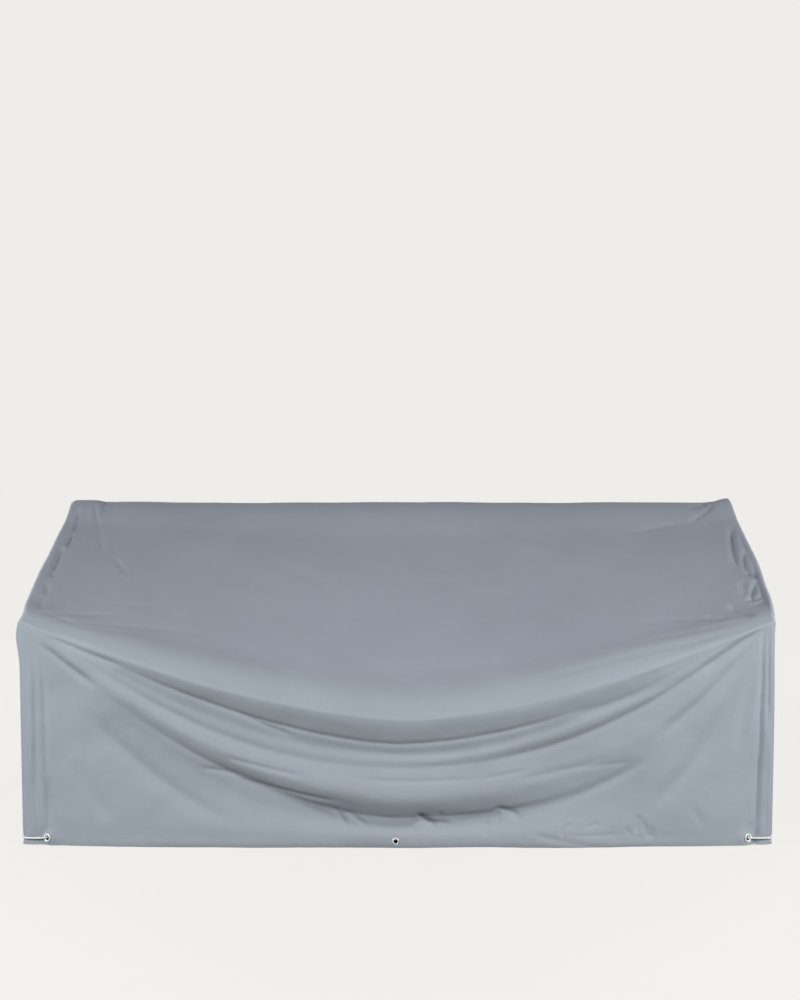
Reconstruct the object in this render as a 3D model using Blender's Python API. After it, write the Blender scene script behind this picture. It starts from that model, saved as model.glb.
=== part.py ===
"""Fitted cover for a three-seat patio sofa, as it hangs over the furniture.

The cover is sewn from a front-and-top panel, a separate front hem band, two side panels and a
back panel. It is open below. Between the two arms the cloth has nothing to lie on, so it sinks
to the seat's front edge and hangs in swags that run from one arm's corner to the other's.
Metal eyelets sit in the hem, and an elastic cord draws each lower corner together.

Metres, +Z up, +X to the viewer's right, front towards -Y. The origin is on the floor under the
middle of the cover.
"""

import math
from collections import namedtuple

import bmesh
import bpy
from mathutils import Matrix, Vector

# ---------------------------------------------------------------- driving dimensions
WIDTH = 2.10  # over both side panels
DEPTH = 0.85  # between the front and the back at the arms
BACK_HEIGHT = 0.88
ARM_HEIGHT = 0.645  # where the slope of the sides would meet the front
CLOTH = 0.002
GAP = 0.0003  # between two pieces that touch
SIDE_ROLL = 0.012  # radius at which the cloth rounds over into a side panel
BACK_ROLL = 0.018  # the same along the top of the back
ARM_ROLL = 0.035  # the same over the front of an arm

EYELET_BORE = 0.0065  # radii
EYELET_FLANGE = 0.0135
EYELET_WALL = 0.0010
FLANGE_THICK = 0.0011
EYELET_HEIGHT = 0.0232
MIDDLE_EYELET_X = -0.005
MIDDLE_EYELET_HEIGHT = 0.0175
CORNER_TO_EYELET = 0.069  # along the hem, from a lower corner to its eyelets

CORD_RADIUS = 0.00275
KNOT_RADIUS = 0.0085

CORNER_RISE = 0.005  # how far the cords draw the hem up at the lower corners
RISE_POWER = 9  # how quickly that dies away along the hem, as in the fold table below

HALF = WIDTH / 2
EDGE_X = HALF - SIDE_ROLL  # where the front and top panel starts to round over
FRONT_Y = -DEPTH / 2
BACK_Y = DEPTH / 2
SIDE_SLOPE = math.atan2(BACK_HEIGHT - ARM_HEIGHT, DEPTH)
ARM_CENTRE_Z = ARM_HEIGHT + math.tan(SIDE_SLOPE) * ARM_ROLL - ARM_ROLL / math.cos(SIDE_SLOPE)

CLOTH_COLOUR = (0.352, 0.390, 0.428, 1.0)
EYELET_COLOUR = (0.82, 0.83, 0.82, 1.0)
CORD_COLOUR = (0.80, 0.81, 0.80, 1.0)

# ---------------------------------------------------------------- folds of the front
# Each fold line runs from the left arm to the right one and is lowest near the middle.
# z_left, z_low and z_right are its heights, x_low is where it is lowest, and the two powers say
# how squarely it hangs: 1 is a straight line and 2 a parabola. out_left, out_mid and out_right
# are how far it stands in front of the arms' front, at -STATION_X, 0 and +STATION_X. out_end is
# the same where the panel rounds over into the sides.
Fold = namedtuple(
    "Fold",
    "name x_low z_left z_low z_right power_left power_right out_left out_mid out_right out_end",
)
STATION_X = 0.52
LIP_END = -ARM_ROLL * (1 - math.cos((math.pi / 2 - SIDE_SLOPE) / 2))
LIP_END_Z = ARM_CENTRE_Z + ARM_ROLL * math.sin((math.pi / 2 - SIDE_SLOPE) / 2)
FOLDS = [
    Fold("hem edge", 0.0, CORNER_RISE, 0.0, CORNER_RISE, 9, 9, 0.0145, 0.0165, 0.0145, 0.0),
    Fold("hem turn", 0.0, 0.008, 0.003, 0.008, 9, 9, 0.0160, 0.0180, 0.0160, 0.0),
    Fold("hem top", 0.0, 0.040, 0.032, 0.040, 9, 9, 0.0150, 0.0170, 0.0150, 0.0),
    Fold("apron", 0.050, 0.450, 0.057, 0.450, 2.0, 3.0, 0.009, 0.009, 0.008, 0.0),
    Fold("under trough", 0.060, 0.575, 0.082, 0.575, 1.82, 2.6, -0.015, -0.012, -0.012, 0.0),
    Fold("low ridge", 0.050, 0.584, 0.158, 0.584, 1.95, 2.9, 0.013, 0.028, 0.012, 0.0),
    Fold("mid trough", 0.010, 0.593, 0.213, 0.593, 1.84, 2.16, 0.000, 0.006, -0.012, 0.0),
    Fold("mid ridge", 0.010, 0.602, 0.252, 0.602, 1.6, 1.86, 0.006, 0.008, 0.006, 0.0),
    Fold("deep trough", 0.080, 0.611, 0.294, 0.611, 1.6, 1.4, -0.022, -0.032, -0.020, 0.0),
    Fold("lip", 0.007, LIP_END_Z, 0.347, LIP_END_Z, 1.7, 1.7, 0.004, 0.004, 0.002, LIP_END),
]
STEPS = [1, 1, 4, 4, 3, 2, 2, 3, 3]  # rows of faces between one fold line and the next
HEM_ROWS = 2  # the rows below the line called hem top are the hem band

# The slope above the lip: how far back and up the panel is where it leaves the lip's curve.
BROW_BACK = 0.030
BROW_RISE = 0.036
SLOPE_SHARES = [0.14, 0.34, 0.56, 0.78]
SLOPE_BULGE = 0.008  # how far the slope stands above a straight line, half way
BACK_ROLL_STEPS = 3

# The sewn corners of the back's top edge stand up a little: where each starts, and how high.
EAR_LEFT = 0.955
EAR_RIGHT = 0.930
EAR_RISE = 0.007
EAR_RAMP = 0.05  # length over which a corner comes up

# ---------------------------------------------------------------- soft creases
# A crease runs from one point of a panel to another: x and z on the front and the back, y and z
# on a side. bow is how far its middle stands off the straight line, and depth is outwards.
Crease = namedtuple("Crease", "panel start end bow depth width")
CREASES = [
    Crease("front", (-0.89, 0.41), (-0.42, 0.055), 0.037, -0.008, 0.026),
    Crease("front", (-0.90, 0.24), (-0.77, 0.060), 0.010, -0.004, 0.026),
    Crease("front", (1.00, 0.585), (0.68, 0.270), -0.018, -0.009, 0.022),
    Crease("front", (0.985, 0.52), (0.68, 0.080), -0.025, -0.008, 0.026),
    Crease("front", (-0.992, 0.46), (-0.992, 0.065), 0.0, -0.008, 0.012),
    Crease("front", (1.020, 0.60), (1.014, 0.065), 0.0, -0.008, 0.010),
    Crease("left", (-0.330, 0.56), (-0.345, 0.060), 0.010, 0.009, 0.030),
    Crease("left", (-0.27, 0.60), (-0.07, 0.060), -0.030, -0.010, 0.045),
    Crease("left", (-0.08, 0.62), (0.12, 0.060), -0.020, 0.009, 0.050),
    Crease("left", (0.34, 0.72), (0.20, 0.060), 0.020, -0.010, 0.045),
    Crease("right", (-0.35, 0.56), (-0.34, 0.060), -0.010, 0.008, 0.028),
    Crease("right", (-0.27, 0.56), (0.02, 0.060), 0.030, -0.011, 0.050),
    Crease("right", (0.02, 0.64), (0.16, 0.060), -0.015, 0.008, 0.045),
    Crease("right", (0.35, 0.74), (0.28, 0.060), 0.010, -0.009, 0.040),
    Crease("back", (-0.82, 0.78), (-0.60, 0.060), 0.020, -0.010, 0.060),
    Crease("back", (-0.38, 0.74), (-0.33, 0.060), -0.015, 0.009, 0.070),
    Crease("back", (0.06, 0.78), (0.00, 0.060), 0.010, -0.010, 0.080),
    Crease("back", (0.42, 0.72), (0.38, 0.060), 0.010, 0.009, 0.070),
    Crease("back", (0.84, 0.78), (0.67, 0.060), -0.020, -0.010, 0.060),
]
CREASE_END = 0.16  # share of a crease's length over which it fades in and out
# Where a side's edges stand away from the upright plane: the place, its half sizes and how far.
Bulge = namedtuple("Bulge", "side y z half_y half_z out")
BULGES = [
    Bulge(-1, -0.395, 0.585, 0.040, 0.075, 0.016),
    Bulge(-1, -0.330, 0.690, 0.110, 0.060, 0.009),
    Bulge(1, -0.390, 0.620, 0.045, 0.100, 0.006),
    Bulge(1, -0.300, 0.690, 0.140, 0.060, 0.010),
]
BACK_HEM_BULGE = 0.022  # how far the back panel stands out near the floor, half way along
BACK_BULGE_RAMP = 0.30  # length over which that comes up from either side
BACK_BULGE_TOP = 0.8  # share of the back's height at which it has died away


def smooth(share):
    """An even blend from 0 to 1."""
    share = min(1.0, max(0.0, share))
    return share * share * (3 - 2 * share)


def crease_push(panel, a, b):
    """How far the creases push a panel's point outwards."""
    push = 0.0
    for crease in CREASES:
        if crease.panel != panel:
            continue
        run_a = crease.end[0] - crease.start[0]
        run_b = crease.end[1] - crease.start[1]
        length = math.hypot(run_a, run_b)
        along = ((a - crease.start[0]) * run_a + (b - crease.start[1]) * run_b) / length**2
        across = ((a - crease.start[0]) * run_b - (b - crease.start[1]) * run_a) / length
        if not 0.0 < along < 1.0:
            continue
        across -= crease.bow * 4 * along * (1 - along)
        fade = smooth(along / CREASE_END) * smooth((1 - along) / CREASE_END)
        push += crease.depth * fade * math.exp(-((across / crease.width) ** 2))
    return push


def hem_rise(reach, corner):
    """How far the hem is drawn up, at a distance from a panel's middle, which is this far from
    its lower corners."""
    return CORNER_RISE * min(1.0, 1 - (corner - abs(reach)) / HALF) ** RISE_POWER


def side_out(side, y, z):
    """How far a side stands outside its upright plane at y and z."""
    out = 0.0
    for bulge in BULGES:
        if bulge.side == side:
            spread = ((y - bulge.y) / bulge.half_y) ** 2 + ((z - bulge.z) / bulge.half_z) ** 2
            out += bulge.out * math.exp(-spread)
    return out


# ---------------------------------------------------------------- front and top panel
def fold_height(fold, x):
    """The fold line's height at x."""
    if x < fold.x_low:
        share, end, power = (fold.x_low - x) / (fold.x_low + EDGE_X), fold.z_left, fold.power_left
    else:
        share, end, power = (x - fold.x_low) / (EDGE_X - fold.x_low), fold.z_right, fold.power_right
    return fold.z_low + (end - fold.z_low) * min(1.0, share) ** power


def fold_out(fold, x):
    """How far the fold line stands in front of the arms' front at x."""
    station = fold.out_left if x < 0 else fold.out_right
    reach = abs(x)
    if reach < STATION_X:
        return fold.out_mid + (station - fold.out_mid) * smooth(reach / STATION_X)
    share = smooth((reach - STATION_X) / (EDGE_X - STATION_X))
    return station + (fold.out_end - station) * share


def ear_rise(x):
    """How far the back's top edge stands up at x."""
    start = EAR_LEFT if x < 0 else EAR_RIGHT
    return EAR_RISE * smooth((abs(x) - start) / EAR_RAMP)


def section_knots(x):
    """The points that the panel's cross-section passes through at x, as (y, z), from the hem up
    over the lip and the slope and down to the seam with the back panel."""
    knots = [(FRONT_Y - fold_out(fold, x), fold_height(fold, x)) for fold in FOLDS]
    lip_y, lip_z = knots[-1]
    arm = smooth((abs(x) - STATION_X) / (EDGE_X - STATION_X))
    turn = math.pi / 2 - SIDE_SLOPE
    arm_back = ARM_ROLL * (1 - math.cos(turn)) + LIP_END
    arm_rise = ARM_CENTRE_Z + ARM_ROLL * math.sin(turn) - LIP_END_Z
    brow_y = lip_y + BROW_BACK + (arm_back - BROW_BACK) * arm
    brow_z = lip_z + BROW_RISE + (arm_rise - BROW_RISE) * arm
    knots.append((brow_y, brow_z))
    centre_y = BACK_Y - BACK_ROLL
    centre_z = BACK_HEIGHT - BACK_ROLL + ear_rise(x)
    slope = math.atan2(centre_z + BACK_ROLL - brow_z, centre_y - brow_y)
    top_y = centre_y - BACK_ROLL * math.sin(slope)
    top_z = centre_z + BACK_ROLL * math.cos(slope)
    bulge = SLOPE_BULGE * (1 - arm)
    for share in SLOPE_SHARES:
        z = brow_z + (top_z - brow_z) * share + bulge * 4 * share * (1 - share)
        knots.append((brow_y + (top_y - brow_y) * share, z))
    for step in range(BACK_ROLL_STEPS + 1):
        angle = (math.pi / 2 + slope) * (1 - step / BACK_ROLL_STEPS)
        y = centre_y + BACK_ROLL * math.cos(angle)
        z = centre_z - ear_rise(x) * step / BACK_ROLL_STEPS + BACK_ROLL * math.sin(angle)
        knots.append((y, z))
    return knots


def tangents(knots):
    """The direction of a smooth curve at each of its knots."""
    spans = [Vector(b) - Vector(a) for a, b in zip(knots, knots[1:])]
    found = [spans[0].normalized()]
    for before, after in zip(spans, spans[1:]):
        near, far = before.length, after.length
        found.append((after.normalized() * near + before.normalized() * far) / (near + far))
    found.append(spans[-1].normalized())
    return found


def smooth_curve(knots, steps):
    """Points along a smooth curve through the knots, with steps[i] spans after knot i."""
    slopes = tangents(knots)
    points = [Vector(knots[0])]
    for i, count in enumerate(steps):
        start, end = Vector(knots[i]), Vector(knots[i + 1])
        length = (end - start).length
        for step in range(1, count + 1):
            t = step / count
            points.append(
                start * (2 * t**3 - 3 * t**2 + 1)
                + slopes[i] * length * (t**3 - 2 * t**2 + t)
                + end * (3 * t**2 - 2 * t**3)
                + slopes[i + 1] * length * (t**3 - t**2)
            )
    return points


SECTION_STEPS = STEPS + [2] + [1] * (len(SLOPE_SHARES) + 1 + BACK_ROLL_STEPS)
LIP_ROW = sum(STEPS)
ARM_ROW = LIP_ROW - STEPS[-1]  # below this row the panel's side edges are straight


def section(x):
    """The panel's cross-section at x, as (y, z) points, one for each row of the grid."""
    return smooth_curve(section_knots(x), SECTION_STEPS)


def outward(points):
    """The outward normals of a cross-section, as (y, z)."""
    found = []
    for i in range(len(points)):
        along = points[min(i + 1, len(points) - 1)] - points[max(i - 1, 0)]
        found.append(Vector((-along.y, along.x)).normalized())
    found[0] = Vector((-1.0, 0.0))
    found[-1] = Vector((1.0, 0.0))
    return found


EYELET_FACET = 0.016  # the cloth is flat this far to each side of an eyelet in the front hem
END_COLUMNS = [0.0, 0.010, 0.020, 0.030]  # columns this far in from where the panel rounds over
INNER_COLUMNS = 34
INNER_X = 0.880


def panel_columns():
    """The x of each column of the front and top panel between its two rounded edges."""
    eyelet = HALF - CORNER_TO_EYELET
    end = [EDGE_X - step for step in END_COLUMNS]
    end += [eyelet + EYELET_FACET, eyelet, eyelet - EYELET_FACET]
    end += [INNER_X + (end[-1] - INNER_X) * share for share in (0.77, 0.47)]
    middle = [INNER_X * (2 * step / INNER_COLUMNS - 1) for step in range(INNER_COLUMNS + 1)]
    return [-x for x in end] + middle + end[::-1]


COLUMNS = panel_columns()
ROLL_ANGLES = [math.pi / 2, math.pi / 4]


def front_column(x):
    """The points of one column of the front and top panel."""
    points = section(x)
    normals = outward(points)
    column = []
    for row, (point, normal) in enumerate(zip(points, normals)):
        push = 0.0
        if 0 < row < LIP_ROW:
            push = crease_push("front", x, point.y)
        column.append(Vector((x, point.x + normal.x * push, point.y + normal.y * push)))
    return column


def rolled_column(side, angle):
    """A column of the same panel where it has rounded over a side by that angle."""
    points = section(side * EDGE_X)
    normals = outward(points)
    drop = SIDE_ROLL * (1 - math.cos(angle))
    reach = EDGE_X + SIDE_ROLL * math.sin(angle)
    column = []
    for point, normal in zip(points, normals):
        y, z = point.x - normal.x * drop, point.y - normal.y * drop
        column.append(Vector((side * (reach + side_out(side, y, z)), y, z)))
    return column


def front_grid():
    """Every column of the front and top panel, from left to right."""
    left = [rolled_column(-1, angle) for angle in ROLL_ANGLES]
    right = [rolled_column(1, angle) for angle in ROLL_ANGLES[::-1]]
    return left + [front_column(x) for x in COLUMNS] + right


# ---------------------------------------------------------------- side and back panels
def side_outline():
    """The top edge of a side panel, as (y, z), from the front of the arm to the back."""
    points = section(EDGE_X)
    normals = outward(points)
    inset = SIDE_ROLL + GAP
    edge = [p - n * inset for p, n in zip(points, normals)][ARM_ROW:]
    edge[0].x = FRONT_Y + inset
    return edge


SIDE_ROWS = [0.0, 0.08, 0.20, 0.35, 0.50, 0.65, 0.78, 0.89, 1.0]
SIDE_COLUMN = 0.045  # the columns of a side panel are at least this close
SIDE_FADE = 0.045  # a side panel's creases die away this near to its front and back edges
SIDE_TOP_FADE = 0.05  # and this near to its top edge


def side_grid(side):
    """The columns of a side panel, from the front to the back."""
    panel = "left" if side < 0 else "right"
    edge = side_outline()
    ends = list(zip(edge, edge[1:]))
    for start, end in ends:
        extra = int((end.x - start.x) / SIDE_COLUMN)
        edge += [start.lerp(end, (step + 1) / (extra + 1)) for step in range(extra)]
    edge.sort(key=lambda point: point.x)
    columns = []
    for y, top in edge:
        near_edge = smooth(min(y - edge[0].x, edge[-1].x - y) / SIDE_FADE)
        column = []
        low = hem_rise(y, BACK_Y - SIDE_ROLL)
        for share in SIDE_ROWS:
            z = low + (top - low) * share
            fade = near_edge * smooth((top - z) / SIDE_TOP_FADE)
            out = side_out(side, y, z) + fade * crease_push(panel, y, z)
            column.append(Vector((side * (HALF + out), y, z)))
        columns.append(column)
    return columns


BACK_ROWS = [0.0, 0.05, 0.12, 0.22, 0.36, 0.50, 0.64, 0.76, 0.86, 0.95, 1.0]
BACK_INNER_X = 0.90  # the back's creases and its bulge lie inside this
BACK_INNER_COLUMNS = 24
BACK_END_COLUMNS = [EDGE_X, 1.01, 0.95]
BACK_FADE = 0.12  # length over which the back's creases die away towards its sides
BACK_TOP_FADE = 0.10  # and towards its top


def back_grid():
    """The columns of the back panel, from right to left as seen from the front."""
    top = BACK_HEIGHT - BACK_ROLL - GAP
    middle = [
        BACK_INNER_X * (1 - 2 * step / BACK_INNER_COLUMNS) for step in range(BACK_INNER_COLUMNS + 1)
    ]
    columns = []
    for side, angles in ((1, ROLL_ANGLES), (-1, ROLL_ANGLES[::-1])):
        rolled = []
        for angle in angles:
            x = side * (EDGE_X + SIDE_ROLL * math.sin(angle))
            y = BACK_Y - SIDE_ROLL * (1 - math.cos(angle))
            heights = [CORNER_RISE + (top - CORNER_RISE) * share for share in BACK_ROWS]
            rolled.append([Vector((x, y, z)) for z in heights])
        columns.append(rolled)
    flat = []
    for x in BACK_END_COLUMNS + middle + [-x for x in BACK_END_COLUMNS[::-1]]:
        near_edge = smooth((BACK_INNER_X - abs(x)) / BACK_FADE)
        along = smooth((BACK_INNER_X - abs(x)) / BACK_BULGE_RAMP)
        column = []
        low = hem_rise(x, EDGE_X)
        for share in BACK_ROWS:
            z = low + (top - low) * share
            flare = BACK_HEM_BULGE * along * (1 - smooth(share / BACK_BULGE_TOP))
            fade = near_edge * smooth((top - z) / BACK_TOP_FADE)
            column.append(Vector((x, BACK_Y + flare + fade * crease_push("back", x, z), z)))
        flat.append(column)
    return columns[0] + flat + columns[1]


# ---------------------------------------------------------------- solids
def vertex_normals(grid):
    """The outward normal at each point of a grid of columns."""
    wide, high = len(grid), len(grid[0])
    found = [[Vector() for _ in range(high)] for _ in range(wide)]
    for i in range(wide - 1):
        for j in range(high - 1):
            a, b, c, d = grid[i][j], grid[i + 1][j], grid[i + 1][j + 1], grid[i][j + 1]
            normal = (c - a).cross(d - b)
            for u, v in ((i, j), (i + 1, j), (i + 1, j + 1), (i, j + 1)):
                found[u][v] += normal
    return [[normal.normalized() for normal in column] for column in found]


def sheet_solid(name, grid, normals, material):
    """A sheet of cloth whose outer face is the grid."""
    wide, high = len(grid), len(grid[0])
    mesh = bmesh.new()
    outer = [[mesh.verts.new(p) for p in column] for column in grid]
    inner = [
        [mesh.verts.new(p - n * CLOTH) for p, n in zip(column, column_normals)]
        for column, column_normals in zip(grid, normals)
    ]
    for i in range(wide - 1):
        for j in range(high - 1):
            mesh.faces.new((outer[i][j], outer[i + 1][j], outer[i + 1][j + 1], outer[i][j + 1]))
            mesh.faces.new((inner[i][j], inner[i][j + 1], inner[i + 1][j + 1], inner[i + 1][j]))
    rim = [(i, 0) for i in range(wide - 1)] + [(wide - 1, j) for j in range(high - 1)]
    rim += [(i, high - 1) for i in range(wide - 1, 0, -1)] + [(0, j) for j in range(high - 1, 0, -1)]
    for (i, j), (k, m) in zip(rim, rim[1:] + rim[:1]):
        mesh.faces.new((outer[i][j], inner[i][j], inner[k][m], outer[k][m]))
    return add_object(name, mesh, material)


def add_object(name, mesh, material):
    """A new object for a bmesh, which is used up."""
    data = bpy.data.meshes.new(name)
    mesh.to_mesh(data)
    mesh.free()
    data.materials.append(material)
    data.shade_smooth()
    data.set_sharp_from_angle(angle=math.radians(50))
    made = bpy.data.objects.new(name, data)
    bpy.context.scene.collection.objects.link(made)
    return made


def make_material(name, colour, roughness, metallic):
    made = bpy.data.materials.new(name)
    made.use_nodes = True
    shader = made.node_tree.nodes["Principled BSDF"]
    shader.inputs["Base Color"].default_value = colour
    shader.inputs["Roughness"].default_value = roughness
    shader.inputs["Metallic"].default_value = metallic
    return made


# ---------------------------------------------------------------- eyelets and cords
# An eyelet's place: the panel's node, the middle of its outer face and its outward normal.
Eyelet = namedtuple("Eyelet", "name node centre normal")


def fold_point(fold, x):
    """The fold line's point at x."""
    return Vector((x, FRONT_Y - fold_out(fold, x), fold_height(fold, x)))


def hem_band_place(x, height=MIDDLE_EYELET_HEIGHT):
    """A point of the hem band's flat part, and the outward normal there."""
    low, high = [
        [fold_point(fold, x + step) for step in (-EYELET_FACET, EYELET_FACET)] for fold in FOLDS[1:3]
    ]
    across = (low[1] - low[0]) + (high[1] - high[0])
    base, top = (low[0] + low[1]) / 2, (high[0] + high[1]) / 2
    place = base.lerp(top, (height - base.z) / (top.z - base.z))
    return place, across.cross(top - base).normalized()


def eyelets():
    """Every eyelet of the cover."""
    found = [Eyelet("eyelet_front_middle", "front_hem", *hem_band_place(MIDDLE_EYELET_X))]
    for side, word in ((-1, "left"), (1, "right")):
        x = side * (HALF - CORNER_TO_EYELET)
        place, normal = hem_band_place(x, EYELET_HEIGHT)
        found.append(Eyelet(f"eyelet_front_{word}", "front_hem", place, normal))
        outside = Vector((side, 0.0, 0.0))
        for end, word_end in ((-1, "front"), (1, "back")):
            y = end * (BACK_Y - CORNER_TO_EYELET)
            place = Vector((side * HALF, y, EYELET_HEIGHT))
            found.append(Eyelet(f"eyelet_{word}_{word_end}", f"side_{word}", place, outside))
        place = Vector((x, BACK_Y, EYELET_HEIGHT))
        found.append(Eyelet(f"eyelet_back_{word}", "back", place, Vector((0.0, 1.0, 0.0))))
    return found


def add_cutter(eyelet, target):
    """Cuts the hole that an eyelet's neck passes through."""
    mesh = bmesh.new()
    radius = EYELET_BORE + EYELET_WALL + GAP
    bmesh.ops.create_cone(
        mesh, cap_ends=True, segments=20, radius1=radius, radius2=radius, depth=6 * CLOTH
    )
    data = bpy.data.meshes.new(eyelet.name + "_hole")
    mesh.to_mesh(data)
    mesh.free()
    cutter = bpy.data.objects.new(eyelet.name + "_hole", data)
    bpy.context.scene.collection.objects.link(cutter)
    cutter.matrix_world = placed(eyelet)
    cutter.hide_render = True
    cutter.display_type = "WIRE"
    cut = target.modifiers.new(cutter.name, "BOOLEAN")
    cut.operation = "DIFFERENCE"
    cut.object = cutter


def placed(eyelet):
    """The frame of an eyelet: its axis along local Z, with the middle of the cloth at 0."""
    turn = Vector((0.0, 0.0, 1.0)).rotation_difference(eyelet.normal).to_matrix().to_4x4()
    return Matrix.Translation(eyelet.centre - eyelet.normal * CLOTH / 2) @ turn


def add_eyelet(eyelet, material):
    """A two-flanged ring round the hole, turned from its profile."""
    face = CLOTH / 2 + GAP
    back = face + FLANGE_THICK
    neck = EYELET_BORE + EYELET_WALL
    crown = (EYELET_BORE + EYELET_FLANGE) / 2
    profile = [
        (EYELET_BORE, -back * 0.75), (crown, -back), (EYELET_FLANGE, -face * 1.15),
        (EYELET_FLANGE - 0.0006, -face), (neck, -face), (neck, face),
        (EYELET_FLANGE - 0.0006, face), (EYELET_FLANGE, face * 1.15), (crown, back),
        (EYELET_BORE, back * 0.75),
    ]
    segments = 16
    mesh = bmesh.new()
    rings = []
    for step in range(segments):
        angle = 2 * math.pi * step / segments
        rings.append([mesh.verts.new((r * math.cos(angle), r * math.sin(angle), h)) for r, h in profile])
    for ring, after in zip(rings, rings[1:] + rings[:1]):
        for j in range(len(profile)):
            k = (j + 1) % len(profile)
            mesh.faces.new((ring[j], after[j], after[k], ring[k]))
    mesh.transform(placed(eyelet))
    return add_object(eyelet.name, mesh, material)


# The cord's way through an eyelet, as (towards the corner, outwards) from the hole's middle.
CORD_START = [(-0.0010, -0.0190), (-0.0006, -0.0120), (0.0004, -0.0050), (0.0026, 0.0015),
              (0.0085, 0.0052), (0.0170, 0.0056), (0.0280, 0.0048)]
CORD_OFF = CORD_RADIUS + GAP + 0.0006  # the cord's centre stands this far off the cloth


def corner_cord_route(first, second, corner):
    """The centreline of a cord from behind one eyelet, round the corner, to behind the other."""
    def leg(eyelet, towards):
        flat = (towards - towards.dot(eyelet.normal) * eyelet.normal).normalized()
        return [eyelet.centre + flat * a + eyelet.normal * b for a, b in CORD_START]

    toward_first = corner - first.centre
    toward_second = corner - second.centre
    start = leg(first, Vector((toward_first.x, toward_first.y, 0.0)))
    end = leg(second, Vector((toward_second.x, toward_second.y, 0.0)))
    radius = SIDE_ROLL + CORD_OFF
    middle = Vector((corner.x - math.copysign(SIDE_ROLL, corner.x),
                     corner.y - math.copysign(SIDE_ROLL, corner.y), EYELET_HEIGHT))
    around = []
    for step in range(5):
        angle = math.pi / 2 * step / 4
        around.append(middle + radius * (first.normal * math.cos(angle) + second.normal * math.sin(angle)))
    return start + around + end[::-1]


KNOT_SWELL = [0.45, 0.85, 1.0, 0.85, 0.45]  # a knot's radii along the cord, as shares
KNOT_STEP = 0.45  # from one of them to the next, as a share of the knot's radius
CORD_SPAN_STEPS = 2


def knot_points(before, end):
    """The places and radii of a knot beyond the cord's end, which comes from the point before."""
    step = (end - before).normalized() * KNOT_RADIUS * KNOT_STEP
    return [(end + step * (k + 1), KNOT_RADIUS * share) for k, share in enumerate(KNOT_SWELL)]


def add_cord(name, first, second, corner, material):
    """An elastic cord with a knot behind each of the two eyelets that it joins."""
    route = corner_cord_route(first, second, corner)
    points = smooth_curve(route, [CORD_SPAN_STEPS] * (len(route) - 1))
    swollen = [(place, CORD_RADIUS) for place in points]
    swollen = knot_points(points[1], points[0])[::-1] + swollen + knot_points(points[-2], points[-1])
    curve = bpy.data.curves.new(name, "CURVE")
    curve.dimensions = "3D"
    curve.bevel_depth = CORD_RADIUS
    curve.bevel_resolution = 2
    curve.use_fill_caps = True
    spline = curve.splines.new("POLY")
    spline.points.add(len(swollen) - 1)
    for point, (place, radius) in zip(spline.points, swollen):
        point.co = (*place, 1.0)
        point.radius = radius / CORD_RADIUS
    curve.materials.append(material)
    made = bpy.data.objects.new(name, curve)
    bpy.context.scene.collection.objects.link(made)
    return made


# ---------------------------------------------------------------- the cover
def main():
    for obj in list(bpy.data.objects):
        bpy.data.objects.remove(obj)
    cloth = make_material("coated_cloth", CLOTH_COLOUR, 0.55, 0.0)
    metal = make_material("eyelet_metal", EYELET_COLOUR, 0.35, 1.0)
    elastic = make_material("elastic_cord", CORD_COLOUR, 0.7, 0.0)

    panel = front_grid()
    normals = vertex_normals(panel)
    for column in (0, -1):
        outside = Vector((-1.0 if column == 0 else 1.0, 0.0, 0.0))
        normals[column] = [outside] * len(normals[column])
    for column in normals:
        column[-1] = Vector((column[-1].x, column[-1].y, 0.0)).normalized()
        column[0] = Vector((column[0].x, column[0].y, 0.0)).normalized()
    band = [column[: HEM_ROWS + 1] for column in panel]
    band_normals = [column[: HEM_ROWS + 1] for column in normals]
    upper = [column[HEM_ROWS:] for column in panel]
    for column in upper:
        column[0] = column[0] + (column[1] - column[0]).normalized() * GAP
    upper_normals = [column[HEM_ROWS:] for column in normals]

    panels = {
        "front_top": sheet_solid("front_top", upper, upper_normals, cloth),
        "front_hem": sheet_solid("front_hem", band, band_normals, cloth),
    }
    for side, name in ((-1, "side_left"), (1, "side_right")):
        grid = side_grid(side)
        if side > 0:
            normals = [[Vector((1.0, 0.0, 0.0))] * len(column) for column in grid]
        else:
            grid.reverse()
            normals = [[Vector((-1.0, 0.0, 0.0))] * len(column) for column in grid]
        panels[name] = sheet_solid(name, grid, normals, cloth)
    grid = back_grid()
    normals = vertex_normals(grid)
    normals[0] = [Vector((1.0, 0.0, 0.0))] * len(normals[0])
    normals[-1] = [Vector((-1.0, 0.0, 0.0))] * len(normals[-1])
    for column in normals:
        for row in (0, -1):
            column[row] = Vector((column[row].x, column[row].y, 0.0)).normalized()
    panels["back"] = sheet_solid("back", grid, normals, cloth)

    places = {eyelet.name: eyelet for eyelet in eyelets()}
    for eyelet in places.values():
        add_cutter(eyelet, panels[eyelet.node])
        add_eyelet(eyelet, metal)
    for side, word in ((-1, "left"), (1, "right")):
        for end, word_end in ((-1, "front"), (1, "back")):
            add_cord(
                f"cord_{word_end}_{word}",
                places[f"eyelet_{word_end}_{word}"],
                places[f"eyelet_{word}_{word_end}"],
                Vector((side * HALF, end * BACK_Y, EYELET_HEIGHT)),
                elastic,
            )


main()
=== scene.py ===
"""A fitted cover for long patio furniture, sewn from coated cloth and draped as in use.

Every panel is a thin sheet with its folds and creases given in tables.
Metres, +Z up, +X to the viewer's right, front towards -Y, origin on the floor.
"""

import math
from collections import namedtuple

import bmesh
import bpy
import numpy as np
from bpy.props import FloatProperty, FloatVectorProperty, PointerProperty
from mathutils import Matrix, Vector


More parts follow.
